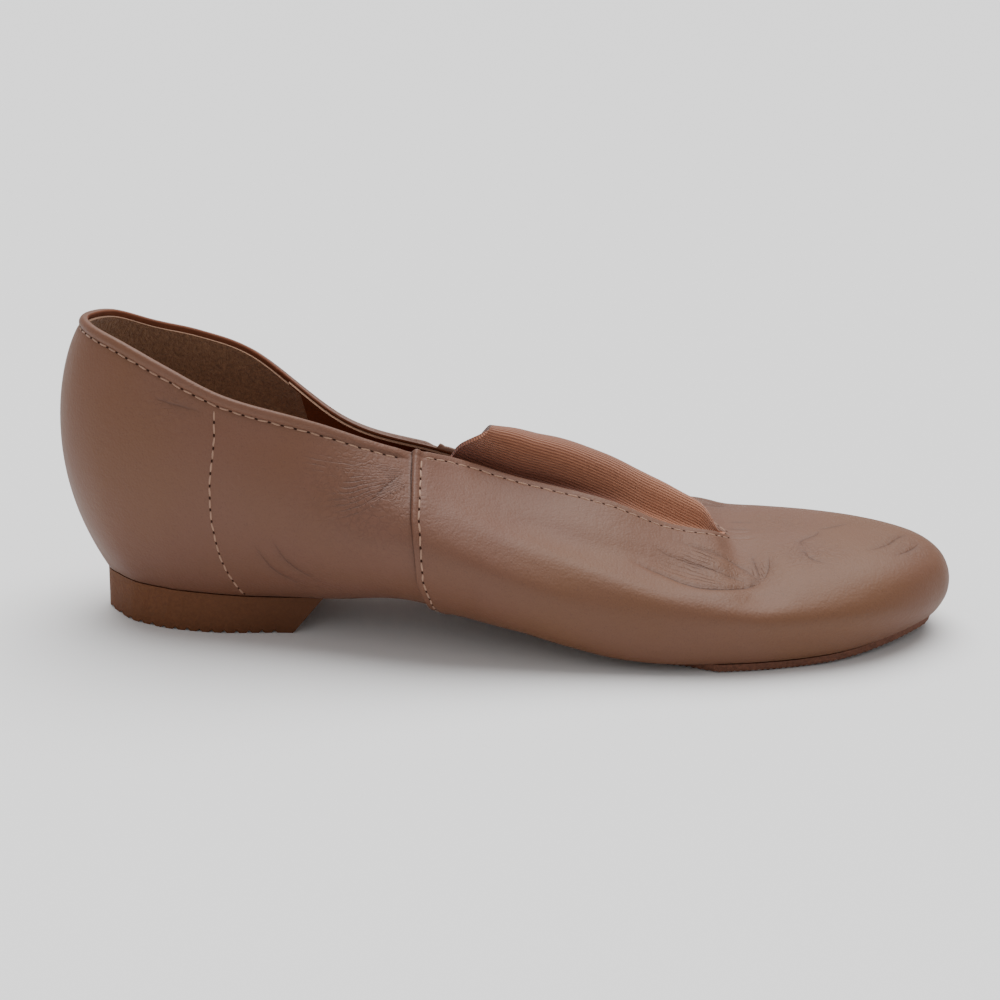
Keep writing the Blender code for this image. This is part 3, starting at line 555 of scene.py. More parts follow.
# Folds and creases of the leather: side (-1 outer, 1 inner), places as row and share of
# the way from the upper edge to the bottom edge, height and width in millimetres.
FOLDS = (
    (-1, ((9.30, 0.39), (9.70, 0.44), (10.10, 0.51), (10.85, 0.53), (11.90, 0.53), (12.30, 0.51)), -0.80, 1.00),
    (-1, ((9.50, 0.48), (10.05, 0.57), (10.85, 0.60), (11.90, 0.60), (12.60, 0.57)), 0.66, 2.8),
    (-1, ((9.50, 0.30), (10.20, 0.40), (11.20, 0.44), (12.20, 0.44)), -0.80, 4.5),
    (-1, ((9.60, 0.24), (10.00, 0.30), (10.95, 0.38), (12.20, 0.50)), -0.26, 0.90),
    (-1, ((9.90, 0.15), (10.80, 0.21), (11.95, 0.34), (12.28, 0.48)), -0.24, 0.90),
    (-1, ((12.38, 0.24), (12.36, 0.38), (12.30, 0.51)), -0.22, 0.75),
    (-1, ((12.75, 0.28), (12.60, 0.40), (12.38, 0.50)), -0.16, 0.70),
    (-1, ((14.60, 0.01), (14.30, 0.07), (13.75, 0.14), (13.62, 0.26)), -0.24, 0.75),
    (-1, ((13.90, 0.42), (13.62, 0.33), (13.70, 0.16)), -0.16, 0.75),
    (-1, ((15.10, 0.33), (15.75, 0.30), (16.80, 0.23), (17.60, 0.24)), -0.26, 0.80),
    (-1, ((15.60, 0.42), (16.20, 0.40), (17.00, 0.36)), -0.22, 0.80),
    (-1, ((6.55, 0.30), (7.50, 0.41), (8.45, 0.51), (9.30, 0.60), (10.50, 0.69), (11.70, 0.74), (13.00, 0.77),
          (14.50, 0.78), (15.80, 0.79), (17.00, 0.77), (18.00, 0.74)), 1.30, 4.2),
    (-1, ((7.80, 0.26), (8.60, 0.34), (9.50, 0.36), (10.30, 0.42)), -0.75, 4.5),
    (-1, ((7.40, 0.62), (7.38, 0.73), (7.45, 0.88)), -0.55, 1.8),
    (-1, ((6.95, 0.80), (7.00, 0.90), (7.10, 1.00)), 0.50, 2.0),
    (-1, ((4.35, 0.62), (4.55, 0.74), (4.85, 0.80)), -0.32, 0.75),
    (-1, ((4.55, 0.57), (4.70, 0.67), (5.00, 0.74)), -0.26, 0.75),
    (-1, ((2.90, 0.13), (3.25, 0.12), (3.75, 0.10)), -0.16, 0.90),
    (-1, ((5.20, 0.42), (5.60, 0.46), (6.00, 0.46)), 0.55, 3.6),
    (-1, ((5.60, 0.28), (5.75, 0.21), (5.92, 0.13)), -0.24, 0.60),
    (1, ((12.05, 0.16), (12.35, 0.19), (12.75, 0.17)), -0.08, 0.65),
    (1, ((12.05, 0.07), (12.30, 0.09), (12.65, 0.07)), -0.18, 0.65),
    (1, ((14.60, 0.01), (15.00, 0.07), (15.40, 0.15)), -0.22, 0.75),
    (1, ((9.50, 0.30), (10.20, 0.40), (11.10, 0.47), (12.10, 0.47)), -0.58, 1.05),
    (1, ((9.60, 0.40), (10.30, 0.49), (11.10, 0.55), (12.20, 0.54)), 0.42, 2.6),
    (1, ((9.90, 0.20), (10.80, 0.28), (11.80, 0.40), (12.15, 0.46)), -0.26, 0.75),
    (1, ((6.60, 0.36), (7.80, 0.46), (9.20, 0.58), (10.80, 0.66), (13.00, 0.72), (15.50, 0.76)), 0.70, 4.6),
    (1, ((4.45, 0.60), (4.60, 0.70), (4.90, 0.77)), -0.30, 0.75),
)
# Fans of fine creases: side, first and last line, how many lines and how strong.
FANS = (
    (-1, ((10.00, 0.12), (10.80, 0.17), (11.80, 0.29), (12.38, 0.48)),
     ((9.40, 0.38), (10.00, 0.47), (10.95, 0.52), (12.30, 0.52)), 11, 1.0),
    (-1, ((4.70, 0.12), (5.10, 0.12), (5.50, 0.11), (5.95, 0.10)),
     ((5.20, 0.44), (5.45, 0.38), (5.70, 0.29), (5.97, 0.20)), 13, 0.75),
    (1, ((9.90, 0.18), (10.60, 0.26), (11.40, 0.36), (12.20, 0.45)),
     ((9.50, 0.34), (10.20, 0.43), (11.00, 0.49), (12.20, 0.49)), 8, 0.5),
    (1, ((4.80, 0.14), (5.20, 0.14), (5.60, 0.13), (5.95, 0.12)),
     ((5.20, 0.42), (5.45, 0.36), (5.70, 0.28), (5.97, 0.19)), 11, 0.7),
)
# Patches of finely wrinkled leather: side, row, share down, radius in millimetres, strength.
WRINKLED = (
    (-1, 5.55, 0.25, 15.0, 1.0), (-1, 13.7, 0.28, 10.0, 0.9), (-1, 11.4, 0.38, 14.0, 0.8),
    (-1, 16.4, 0.33, 10.0, 0.8), (-1, 5.0, 0.72, 9.0, 0.5), (-1, 3.2, 0.12, 9.0, 0.6),
    (1, 5.5, 0.25, 14.0, 0.9), (1, 11.2, 0.36, 14.0, 0.8), (1, 13.4, 0.15, 12.0, 0.8),
    (1, 15.8, 0.20, 10.0, 0.6),
)
# How far the vamp's seam runs forwards on its way down: share down, rows.
SEAM_LEAN = ((0.0, 0.0), (0.36, 0.0), (0.51, 0.13), (0.64, 0.20), (0.76, 0.40), (0.88, 0.58), (1.0, 0.72))


def shoe_last():
    """The last for the sizes now set."""
    return Last(bpy.context.scene.jazz_shoe_sizes)


def in_row_frame(points):
    """Points moved from the back of the heel to the middle of the shoe's plan."""
    return np.asarray(points, float) - np.array([PLAN_MIDDLE[0], PLAN_MIDDLE[1], 0.0])


def mesh_object(name, points, faces, materials, indices=None, uvs=None, sharp=40.0, marks=None):
    """A mesh object in the row frame, shaded smooth, with its materials."""
    mesh = bpy.data.meshes.new(name)
    used = np.unique(np.concatenate([np.asarray(f, dtype=int) for f in faces]))
    number = np.zeros(len(points), dtype=int)
    number[used] = np.arange(len(used))
    points, uvs = np.asarray(points)[used], None if uvs is None else np.asarray(uvs)[used]
    mesh.from_pydata(in_row_frame(points).tolist(), [], [number[list(f)].tolist() for f in faces])
    for made in materials:
        mesh.materials.append(made)
    if indices is not None:
        mesh.polygons.foreach_set("material_index", np.asarray(indices, dtype=np.int32))
    if uvs is not None:
        layer = mesh.uv_layers.new(name="cloth")
        corners = np.empty(len(mesh.loops), dtype=np.int32)
        mesh.loops.foreach_get("vertex_index", corners)
        layer.data.foreach_set("uv", np.asarray(uvs, float)[corners].ravel())
    for label, values in (marks or {}).items():
        mesh.attributes.new(label, "FLOAT", "POINT").data.foreach_set("value", np.asarray(values)[used])
    mesh.validate()
    mesh.shade_smooth()
    mesh.set_sharp_from_angle(angle=math.radians(sharp))
    made = bpy.data.objects.new(name, mesh)
    bpy.context.scene.collection.objects.link(made)
    return made


def seat_on_body(piece, slot, *nodes):
    """Let a piece ride with the shoe and hide the imported solids it stands for; the slot is not used."""
    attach(piece, "root")
    if nodes:
        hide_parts(*nodes)


def grid_faces(count, across, closed=False):
    """Faces of a grid of points numbered row by row."""
    faces = []
    for i in range(count if closed else count - 1):
        k = (i + 1) % count
        for j in range(across - 1):
            faces.append((i * across + j, i * across + j + 1, k * across + j + 1, k * across + j))
    return faces


def wall(outer, inner, faces):
    """Points and faces of a closed wall between two skins that share one set of faces."""
    count = len(outer)
    edges = {}
    for face in faces:
        for a, b in zip(face, face[1:] + face[:1]):
            edges[(a, b)] = edges.get((a, b), 0) + 1
    rims = [(a, b) for a, b in edges if (b, a) not in edges]
    back = [tuple(v + count for v in face[::-1]) for face in faces]
    sides = [(b, a, a + count, b + count) for a, b in rims]
    return np.concatenate([outer, inner]), list(faces) + back + sides, len(faces)


def leather_distances(depth):
    """Distances from the upper edge, close together along the rolled topline."""
    near = np.array([0.0, 0.12, 0.30, 0.55, 0.85, 1.2, 1.6, 2.0, 2.35, 2.6, 2.75, 2.95, 3.2, 3.6, 4.2, 5.0]) * MM
    rest = np.linspace(5.0 * MM, depth, 72)[1:]
    return np.concatenate([near, rest, depth + 0.010 * np.array([0.12, 0.5, 1.0])])


def leather_skin(last):
    """The outer face of the leather."""
    seam = [SEAM_ROW + step for step in SEAM_STEPS]
    stations = last.stations(LEATHER_SPACING, extra=seam, fine=(FINE_ROWS, FINE_SPACING))
    return Skin(last, stations, leather_distances)


def build_upper():
    """The leather upper, from the last with its relief."""
    last = shoe_last()
    skin = leather_skin(last)
    s = last.s
    count, across = skin.face.shape[:2]
    half = 0.5 * s.leather
    rim = np.clip(half - skin.distances, 0.0, half)
    inset = half - np.sqrt(np.maximum(half ** 2 - rim ** 2, 0.0))
    open_edge = (skin.rows < THROAT_TIP_ROW + 0.02)[:, None]
    inset = np.where(open_edge, inset, 0.0)
    outer = skin.face - skin.normals * inset[:, :, None]
    inner = skin.base + skin.normals * (0.8 * skin.folds - s.leather + inset)[:, :, None]
    fade = np.clip(1 - skin.distances / SPINE_REACH, 0.0, 1.0)[:, :, None]
    welded = np.arange(count * across)
    for i, k in skin.partners():
        for grid in (outer, inner):
            middle = 0.5 * (grid[i, 0] + grid[k, 0])
            for n in (i, k):
                grid[n] = grid[n] + (middle - grid[n, 0]) * fade[n]
        welded[k * across] = i * across
    outer, inner = outer.reshape(-1, 3), inner.reshape(-1, 3)
    faces = [
        tuple(dict.fromkeys(int(welded[v]) for v in face)) for face in grid_faces(count, across, closed=True)
    ]
    outer, inner, faces = close_arch(skin, outer, inner, faces)
    points, faces, seen = wall(outer, inner, [f for f in faces if len(f) > 2])
    finish = [leather_material(), lining_material()]
    indices = [0] * seen + [1] * (len(faces) - seen)
    for k, face in enumerate(faces[seen:]):
        if min(face) < len(outer):
            indices[seen + k] = 0
    # Painted shade: the crease, fan and wrinkle attributes darken the leather's colour along the creases, besides
    # cutting its bump.
    marks = {}
    numbers, strengths = skin.fans()
    for label, values in (
        ("crease", skin.marks), ("crease_gap", skin.gap), ("wrinkle", skin.wrinkled()),
        ("fan_number", numbers), ("fan", strengths),
    ):
        marks[label] = np.zeros(len(points))
        marks[label][:count * across] = values.ravel()
    piece = mesh_object("upper_leather", points, faces, finish, indices, sharp=62.0, marks=marks)
    seat_on_body(piece, "leather", "upper")
    return skin


def close_arch(skin, outer, inner, faces):
    """Join the two margins under the arch, where the sole is split."""
    count, across = skin.face.shape[:2]
    pairs = []
    for i, t in enumerate(skin.stations):
        if ARCH_ROWS[0] <= t <= ARCH_ROWS[1]:
            pairs.append((i * across + across - 1, (2 * (len(skin.stations) - 1) - i) * across + across - 1))
    start = len(outer)
    steps = 6
    extra_outer, extra_inner = [], []
    for a, b in pairs:
        for f in range(1, steps):
            extra_outer.append(outer[a] + (outer[b] - outer[a]) * f / steps)
            extra_inner.append(inner[a] + (inner[b] - inner[a]) * f / steps)
    columns = [
        [a] + [start + n * (steps - 1) + f for f in range(steps - 1)] + [b] for n, (a, b) in enumerate(pairs)
    ]
    made = []
    for low, high in zip(columns, columns[1:]):
        for j in range(steps):
            made.append((low[j], low[j + 1], high[j + 1], high[j]))
    return np.concatenate([outer, extra_outer]), np.concatenate([inner, extra_inner]), faces + made


def build_linings():
    """The linings: fuzzy round the heel, thin leather in the quarters and the vamp."""
    last = shoe_last()
    s = last.s
    for name, start, end, finish, top in (
        ("counter_lining", 0.0, COUNTER_ROW, counter_material, 1.5 * MM),
        ("quarter_lining", COUNTER_ROW - 0.12, THROAT_TIP_ROW - 0.05, lining_material, 0.7 * MM),
    ):
        stations = last.stations(3.2 * MM, start, end)
        loop_start = start == 0.0
        rims = np.array([0.0, 0.25, 0.6, 1.2, 2.2, 4.0]) * MM

        def distances(depth, top=top, rims=rims):
            return np.concatenate([top + rims, np.linspace(top + 4.0 * MM, depth + 4 * MM, 26)[1:]])

        if loop_start:
            whole = np.concatenate([-stations[::-1], stations[1:]])
            grids = [band(last, whole, distances)]
        else:
            grids = [band(last, stations, distances), band(last, last.count - stations[::-1], distances)]
        for k, (base, normals) in enumerate(grids):
            count, across = base.shape[:2]
            shift = s.leather + 0.12 * MM + (0.05 * MM if loop_start else 0.0)
            thick = 0.60 * MM
            face = (base - normals * (shift + thick)).reshape(-1, 3)
            back = (base - normals * shift).reshape(-1, 3)
            faces = [f[::-1] for f in grid_faces(count, across)]
            points, faces, seen = wall(face, back, faces)
            indices = [0] * seen + [1] * (len(faces) - seen)
            label = name if len(grids) == 1 else name + ("_outer", "_inner")[k]
            piece = mesh_object(label, points, faces, [finish(), raw_edge_material()], indices, sharp=70.0)
            seat_on_body(piece, "lining")


def band(last, loop, distances):
    """Points and normals of the last over a run of loop parameters."""
    def sample(shift):
        rows = []
        for t in loop + shift:
            line, distance, depth = last.strip(t % last.count)
            rows.append([[np.interp(d, distance, line[:, k]) for k in range(3)] for d in distances(depth)])
        return np.array(rows)

    base = sample(0.0)
    along = sample(0.02) - sample(-0.02)
    normals = np.cross(np.gradient(base, axis=1), along)
    return base, normals / np.linalg.norm(normals, axis=2, keepdims=True)


def tent_line(last, t, rear, tip, steps):
    """The elastic's section at one station: margins under the leather and the tent between them."""
    s = last.s
    ends = []
    for loop in (t, last.count - t):
        side = []
        for distance in (s.elastic_margin, 0.5 * s.elastic_margin, 1.2 * MM):
            point, normal = edge_frame(last, loop, distance)
            side.append(point - normal * (s.wall + s.gap))
        point, normal = edge_frame(last, loop, 0.0)
        below, _ = edge_frame(last, loop, 1.0 * MM)
        side.append(point - normal * (s.wall + s.gap) + (point - below) * 0.9)
        ends.append(side)
    start, end = ends[0][-1], ends[1][-1]
    edge = last.section(t)[1][3][0]
    share = (edge - rear) / (tip - rear)
    along, rise = np.array(RIDGE_ROWS).T
    height = s.gusset_rise * table_curve(along, rise, share)
    slant = np.array([s.gusset_slant, 0.0, 0.0]) * max(0.0, 1 - share / 0.3)
    up = np.array([0.0, 0.0, height])
    nose = float(np.clip((share - NOSE_SHARES[0]) / (NOSE_SHARES[1] - NOSE_SHARES[0]), 0.0, 1.0))
    profile = (1 - nose) * np.array(TENT_PROFILE) + nose * np.array(NOSE_PROFILE)
    tent = [start + (end - start) * a + up * h + slant * lean for a, h, lean in profile]
    knots = np.array(ends[0][:-1] + tent + ends[1][:-1][::-1])
    t_even = np.linspace(0.0, len(knots) - 1, steps)
    return np.stack([catmull(knots[:, k], t_even) for k in range(3)], axis=1)


def edge_frame(last, t, distance):
    """Point of the last at a distance below the upper edge, and its outward normal."""
    def point(shift, d):
        line, distances, _ = last.strip((t + shift) % last.count)
        return np.array([np.interp(d, distances, line[:, k]) for k in range(3)])

    along = point(0.02, distance) - point(-0.02, distance)
    down = point(0.0, distance + 0.5 * MM) - point(0.0, distance)
    normal = np.cross(down, along)
    return point(0.0, distance), normal / np.linalg.norm(normal)


def build_gusset():
    """The ribbed elastic, standing in a loop in the throat."""
    last = shoe_last()
    steps = 110
    rear, tip = (last.section(t)[1][3][0] for t in (THROAT_REAR_ROW, THROAT_TIP_ROW))
    stations = np.linspace(THROAT_REAR_ROW, GUSSET_TIP_ROW, 90)
    grid = np.array([tent_line(last, t, rear, tip, steps) for t in stations])
    normals = np.cross(np.gradient(grid, axis=0), np.gradient(grid, axis=1))
    normals /= np.linalg.norm(normals, axis=2, keepdims=True)
    across, along = travelled(grid, axis=1), travelled(grid[:, steps // 2])
    middle = across[:, steps // 2][:, None]
    uv = np.stack([np.repeat(along[:, None], steps, axis=1), across - middle], axis=2).reshape(-1, 2)
    faces = [f[::-1] for f in grid_faces(len(stations), steps)]
    inner = grid - normals * last.s.elastic
    points, faces, seen = wall(grid.reshape(-1, 3), inner.reshape(-1, 3), faces)
    piece = mesh_object(
        "elastic_gusset", points, faces, [elastic_material()], uvs=np.concatenate([uv, uv]), sharp=60.0
    )
    seat_on_body(piece, "elastic", "gusset")


def bottom_outline(last, inset=0.0):
    """Both sides of the upper's bottom edge as height-free curves: x and y of outer and inner."""
    outer, inner = [], []
    for t in np.linspace(0.0, TOE_ROW, 400):
        for side, loop in ((outer, t), (inner, (last.count - t) % last.count)):
            edge = last.section(loop)[0][0]
            side.append((edge + last.inward(edge) * inset)[:2])
    return np.array(outer), np.array(inner)


def build_insole():
    """The insole, lying on the turned-under leather."""
    last = shoe_last()
    s = last.s
    outer, inner = bottom_outline(last, 1.2 * MM)
    pick = np.linspace(0, len(outer) - 1, 90).astype(int)
    columns = np.linspace(0.0, 1.0, 13)
    plan = between(outer[pick], inner[pick], columns)
    base = last.seat(plan[:, :, 0]) + s.wall + s.insole_gap
    top = np.dstack([plan, base + s.insole])
    low = np.dstack([plan, base])
    faces = [f[::-1] for f in grid_faces(len(pick), len(columns))]
    points, faces, _ = wall(top.reshape(-1, 3), low.reshape(-1, 3), faces)
    piece = mesh_object("insole_sock", points, faces, [sock_material()])
    seat_on_body(piece, "lining", "insole")


def build_sole_patch():
    """The forefoot sole, ribbed across, with its rough edge."""
    last = shoe_last()
    s = last.s
    fine = np.linspace(PATCH_REAR_ROW, TOE_ROW, 500)
    ends = np.array([[last.section(loop)[0][0][:2] for loop in (t, last.count - t)] for t in fine])
    width = np.minimum(1.0, (fine - PATCH_REAR_ROW) / 2.5) ** 0.25
    middle = ends.mean(axis=1, keepdims=True)
    ends = middle + (ends - middle) * width[:, None, None]
    travel = travelled(middle[:, 0])
    marks = np.concatenate([[0.0, 0.05, 0.15, 0.4], np.arange(0.8, travel[-1] / MM - 0.4, 0.4)]) * MM
    marks = np.concatenate([marks, travel[-1] - np.array([0.3, 0.12, 0.03, 0.0]) * MM])
    rings = np.array([[[np.interp(m, travel, ends[:, e, c]) for c in (0, 1)] for e in (0, 1)] for m in marks])
    columns = np.array([0.0, 0.004, 0.012, 0.04, 0.12, 0.3, 0.5, 0.7, 0.88, 0.96, 0.988, 0.996, 1.0])
    plan = between(rings[:, 0], rings[:, 1], columns)
    seat = last.seat(plan[:, :, 0])
    tread = 0.28 * MM * np.abs(((plan[:, :, 0] / (1.6 * MM)) % 1.0) - 0.5) * 2
    edge = np.minimum(columns, 1 - columns)[None, :]
    round_off = 0.25 * MM * (1 - np.clip(edge / 0.012, 0.0, 1.0)) ** 2
    top = np.dstack([plan, seat - s.gap])
    low = np.dstack([plan, seat - s.gap - s.sole_thickness + tread + round_off])
    faces = [f[::-1] for f in grid_faces(len(marks), len(columns))]
    points, faces, _ = wall(top.reshape(-1, 3), low.reshape(-1, 3), faces)
    piece = mesh_object("forefoot_sole", points, faces, [sole_material()], sharp=35.0)
    seat_on_body(piece, "forefoot_sole", "sole_patch")


def build_heel():
    """The heel block, with a slanted front and grooves across its tread."""
    last = shoe_last()
    s = last.s
    outer, inner = bottom_outline(last)
    back = outer[0, 0]
    front = last.section(HEEL_FRONT_ROW)[0][0][0]
    squeeze = 1 - s.breast_slant / (front - back)
    marks = [0.0, 0.04, 0.15, 0.35, 0.6, 0.9, 1.2]
    groove = s.rib_depth / MM
    pitch = s.rib_pitch / MM
    for k in range(int((front - back) * squeeze / s.rib_pitch)):
        centre = (k + 0.5) * pitch
        marks += [centre - groove, centre - 0.5 * groove, centre, centre + 0.5 * groove, centre + groove]
    end = (front - back) * squeeze / MM
    marks = np.array(sorted(m for m in set(marks) if m < end - 0.3) + [end - 0.25, end])
    low_x = back + marks * MM
    top_x = back + marks * MM / squeeze
    half_outer = np.interp(top_x, outer[:, 0], outer[:, 1])
    half_inner = np.interp(top_x, inner[:, 0], inner[:, 1])
    columns = np.array([0.0, 0.003, 0.015, 0.05, 0.2, 0.35, 0.5, 0.65, 0.8, 0.95, 0.985, 0.997, 1.0])
    y = half_outer[:, None] * (1 - columns) + half_inner[:, None] * columns
    phase = np.abs(((marks / pitch) % 1.0) - 0.5) * pitch
    cut = np.maximum(0.0, groove - phase) * MM
    rings = []
    top_z = np.repeat(last.seat(top_x)[:, None] - s.gap, len(columns), axis=1)
    for share, shrink in ((0.0, 0.0), (0.02, 0.0), (0.35, 0.0), (0.7, 0.0), (0.93, 0.0), (1.0, 0.25 * MM)):
        x = top_x * (1 - share) + low_x * share
        flare = 1 + (s.heel_flare * share - shrink) / np.abs(half_outer).max()
        z = top_z * (1 - share) + cut[:, None] * share
        rings.append(np.dstack([np.repeat(x[:, None], len(columns), axis=1), y * flare, z]))
    points, faces = slab(rings)
    piece = mesh_object("heel_block", points, faces, [heel_material()], sharp=35.0)
    seat_on_body(piece, "heel_block", "heel")


def slab(rings):
    """Points and faces of a closed block given as like grids from its top to its base."""
    count, across = rings[0].shape[:2]
    size = count * across
    top = [f[::-1] for f in grid_faces(count, across)]
    faces = list(top)
    base = (len(rings) - 1) * size
    faces += [tuple(v + base for v in f[::-1]) for f in top]
    rim = [(i * across) for i in range(count)] + [(count - 1) * across + j for j in range(1, across)]
    rim += [i * across + across - 1 for i in range(count - 2, -1, -1)] + [j for j in range(across - 2, 0, -1)]
    for k in range(len(rings) - 1):
        for a, b in zip(rim, rim[1:] + rim[:1]):
            faces.append((a + k * size, a + (k + 1) * size, b + (k + 1) * size, b + k * size))
    return np.concatenate([r.reshape(-1, 3) for r in rings]), faces


def shared_group(name, inputs, outputs, fill):
    """A shader node group with named inputs and outputs, built once."""
    group = bpy.data.node_groups.get(name)
    if group:
        return group
    group = bpy.data.node_groups.new(name, "ShaderNodeTree")
    for label, value in inputs:
        socket = group.interface.new_socket(name=label, in_out="INPUT", socket_type="NodeSocketFloat")
        socket.default_value = value
    for label in outputs:
        group.interface.new_socket(name=label, in_out="OUTPUT", socket_type="NodeSocketFloat")
    start, end = group.nodes.new("NodeGroupInput"), group.nodes.new("NodeGroupOutput")
    fill(group, start, end)
    return group


def add_node(tree, kind, settings=None, **values):
    """A node with its settings and input values."""
    node = tree.nodes.new(kind)
    for key, value in (settings or {}).items():
        setattr(node, key, value)
    for key, value in values.items():
        node.inputs[key.replace("_", " ")].default_value = value
    return node


def feed(tree, socket, value):
    """Give an input its constant or the socket that drives it."""
    if isinstance(value, bpy.types.NodeSocket):
        tree.links.new(value, socket)
    else:
        socket.default_value = value

def calculate(tree, operation, a, b=0.0, c=0.0, clamp=False):
    """A maths node's result; a, b and c are sockets or numbers."""
    node = add_node(tree, "ShaderNodeMath", {"operation": operation, "use_clamp": clamp})
    for socket, value in zip(node.inputs, (a, b, c)):
        feed(tree, socket, value)
    return node.outputs[0]


def noise(tree, coordinates, scale, detail=2.0, roughness=0.5):
    """Noise over the surface, from 0 to 1."""
    node = add_node(tree, "ShaderNodeTexNoise", Detail=detail, Roughness=roughness)
    tree.links.new(coordinates, node.inputs["Vector"])
    feed(tree, node.inputs["Scale"], scale)
    return node.outputs["Fac"]


def cells(tree, coordinates, scale, feature):
    """Cells over the surface, by one of the Voronoi features."""
    node = add_node(tree, "ShaderNodeTexVoronoi", {"feature": feature})
    tree.links.new(coordinates, node.inputs["Vector"])
    feed(tree, node.inputs["Scale"], scale)
    return node.outputs["Distance"]


def grain_group():
    """Leather grain: pebbled cells with pores, and cloudy colour."""
    def fill(tree, start, end):
        place = tree.nodes.new("ShaderNodeTexCoord").outputs["Object"]
        pebbles = cells(tree, place, start.outputs["Cells per metre"], "F1")
        rough = noise(tree, place, 520.0, 3.0, 0.6)
        broad = noise(tree, place, 130.0, 3.0, 0.55)
        height = calculate(tree, "MULTIPLY_ADD", pebbles, -0.55, 0.5)
        height = calculate(tree, "ADD", height, calculate(tree, "MULTIPLY", rough, 0.9))
        height = calculate(tree, "ADD", height, calculate(tree, "MULTIPLY", broad, start.outputs["Waves"]))
        cloud = noise(tree, place, 38.0, 5.0, 0.55)
        pores = calculate(tree, "LESS_THAN", noise(tree, place, 2600.0, 1.0, 0.4), 0.36)
        bent = tree.nodes.new("ShaderNodeMix")
        bent.data_type = "VECTOR"
        bent.inputs["Factor"].default_value = 0.012
        warp = add_node(tree, "ShaderNodeTexNoise", Scale=160.0, Detail=2.0)
        tree.links.new(place, warp.inputs["Vector"])
        tree.links.new(place, bent.inputs[4])
        tree.links.new(warp.outputs["Color"], bent.inputs[5])
        cracks = cells(tree, bent.outputs[1], 420.0, "DISTANCE_TO_EDGE")
        wrinkles = calculate(tree, "SUBTRACT", 1.0, calculate(tree, "MULTIPLY", cracks, 5.0), clamp=True)
        tree.links.new(height, end.inputs["Height"])
        tree.links.new(cloud, end.inputs["Cloud"])
        tree.links.new(pores, end.inputs["Pores"])
        tree.links.new(wrinkles, end.inputs["Wrinkles"])
    return shared_group(
        "Leather grain", (("Cells per metre", 1500.0), ("Waves", 1.6)), ("Height", "Cloud", "Pores", "Wrinkles"), fill
    )


def fuzz_group():
    """Nap or rough rubber: fine specks over soft lumps."""
    def fill(tree, start, end):
        place = tree.nodes.new("ShaderNodeTexCoord").outputs["Object"]
        fine = noise(tree, place, start.outputs["Specks per metre"], 3.0, 0.7)
        lumps = noise(tree, place, 240.0, 3.0, 0.6)
        tree.links.new(calculate(tree, "ADD", fine, calculate(tree, "MULTIPLY", lumps, 0.8)), end.inputs["Height"])
        tree.links.new(fine, end.inputs["Specks"])
        tree.links.new(lumps, end.inputs["Lumps"])
    return shared_group("Fuzz", (("Specks per metre", 1400.0),), ("Height", "Specks", "Lumps"), fill)


def new_material(name, roughness, **settings):
    """A material with a Principled shader and its constant values; returns both and the tree."""
    made = bpy.data.materials.new(name)
    made.use_nodes = True
    tree = made.node_tree
    shader = tree.nodes["Principled BSDF"]
    shader.inputs["Roughness"].default_value = roughness
    for key, value in settings.items():
        shader.inputs[key.replace("_", " ")].default_value = value
    return made, tree, shader


def place_group(tree, group, **values):
    """A node group placed in a material with its own values."""
    node = tree.nodes.new("ShaderNodeGroup")
    node.node_tree = group
    for key, value in values.items():
        node.inputs[key.replace("_", " ")].default_value = value
    return node


def tint(tree, factor, low, high):
    """A colour between two others by a factor."""
    node = tree.nodes.new("ShaderNodeMix")
    node.data_type = "RGBA"
    tree.links.new(factor, node.inputs["Factor"])
    for socket, colour in ((node.inputs[6], low), (node.inputs[7], high)):
        feed(tree, socket, (*colour, 1.0) if isinstance(colour, tuple) else colour)
    return node.outputs[2]


def add_bump(tree, shader, height, distance, strength=1.0):
    """Bump from a height that runs from about 0 to 1."""
    node = add_node(tree, "ShaderNodeBump", Strength=strength, Distance=distance)
    tree.links.new(height, node.inputs["Height"])
    tree.links.new(node.outputs["Normal"], shader.inputs["Normal"])


def scaled(colour, *factors):
    """A colour with its channels multiplied."""
    if len(factors) == 1:
        factors = factors * 3
    return tuple(min(1.0, c * f) for c, f in zip(colour, factors))


def colours():
    """The colours now set."""
    return bpy.context.scene.jazz_shoe_colours


def known(name, build):
    """The named material, built the first time it is asked for."""
    return bpy.data.materials.get(name) or build()


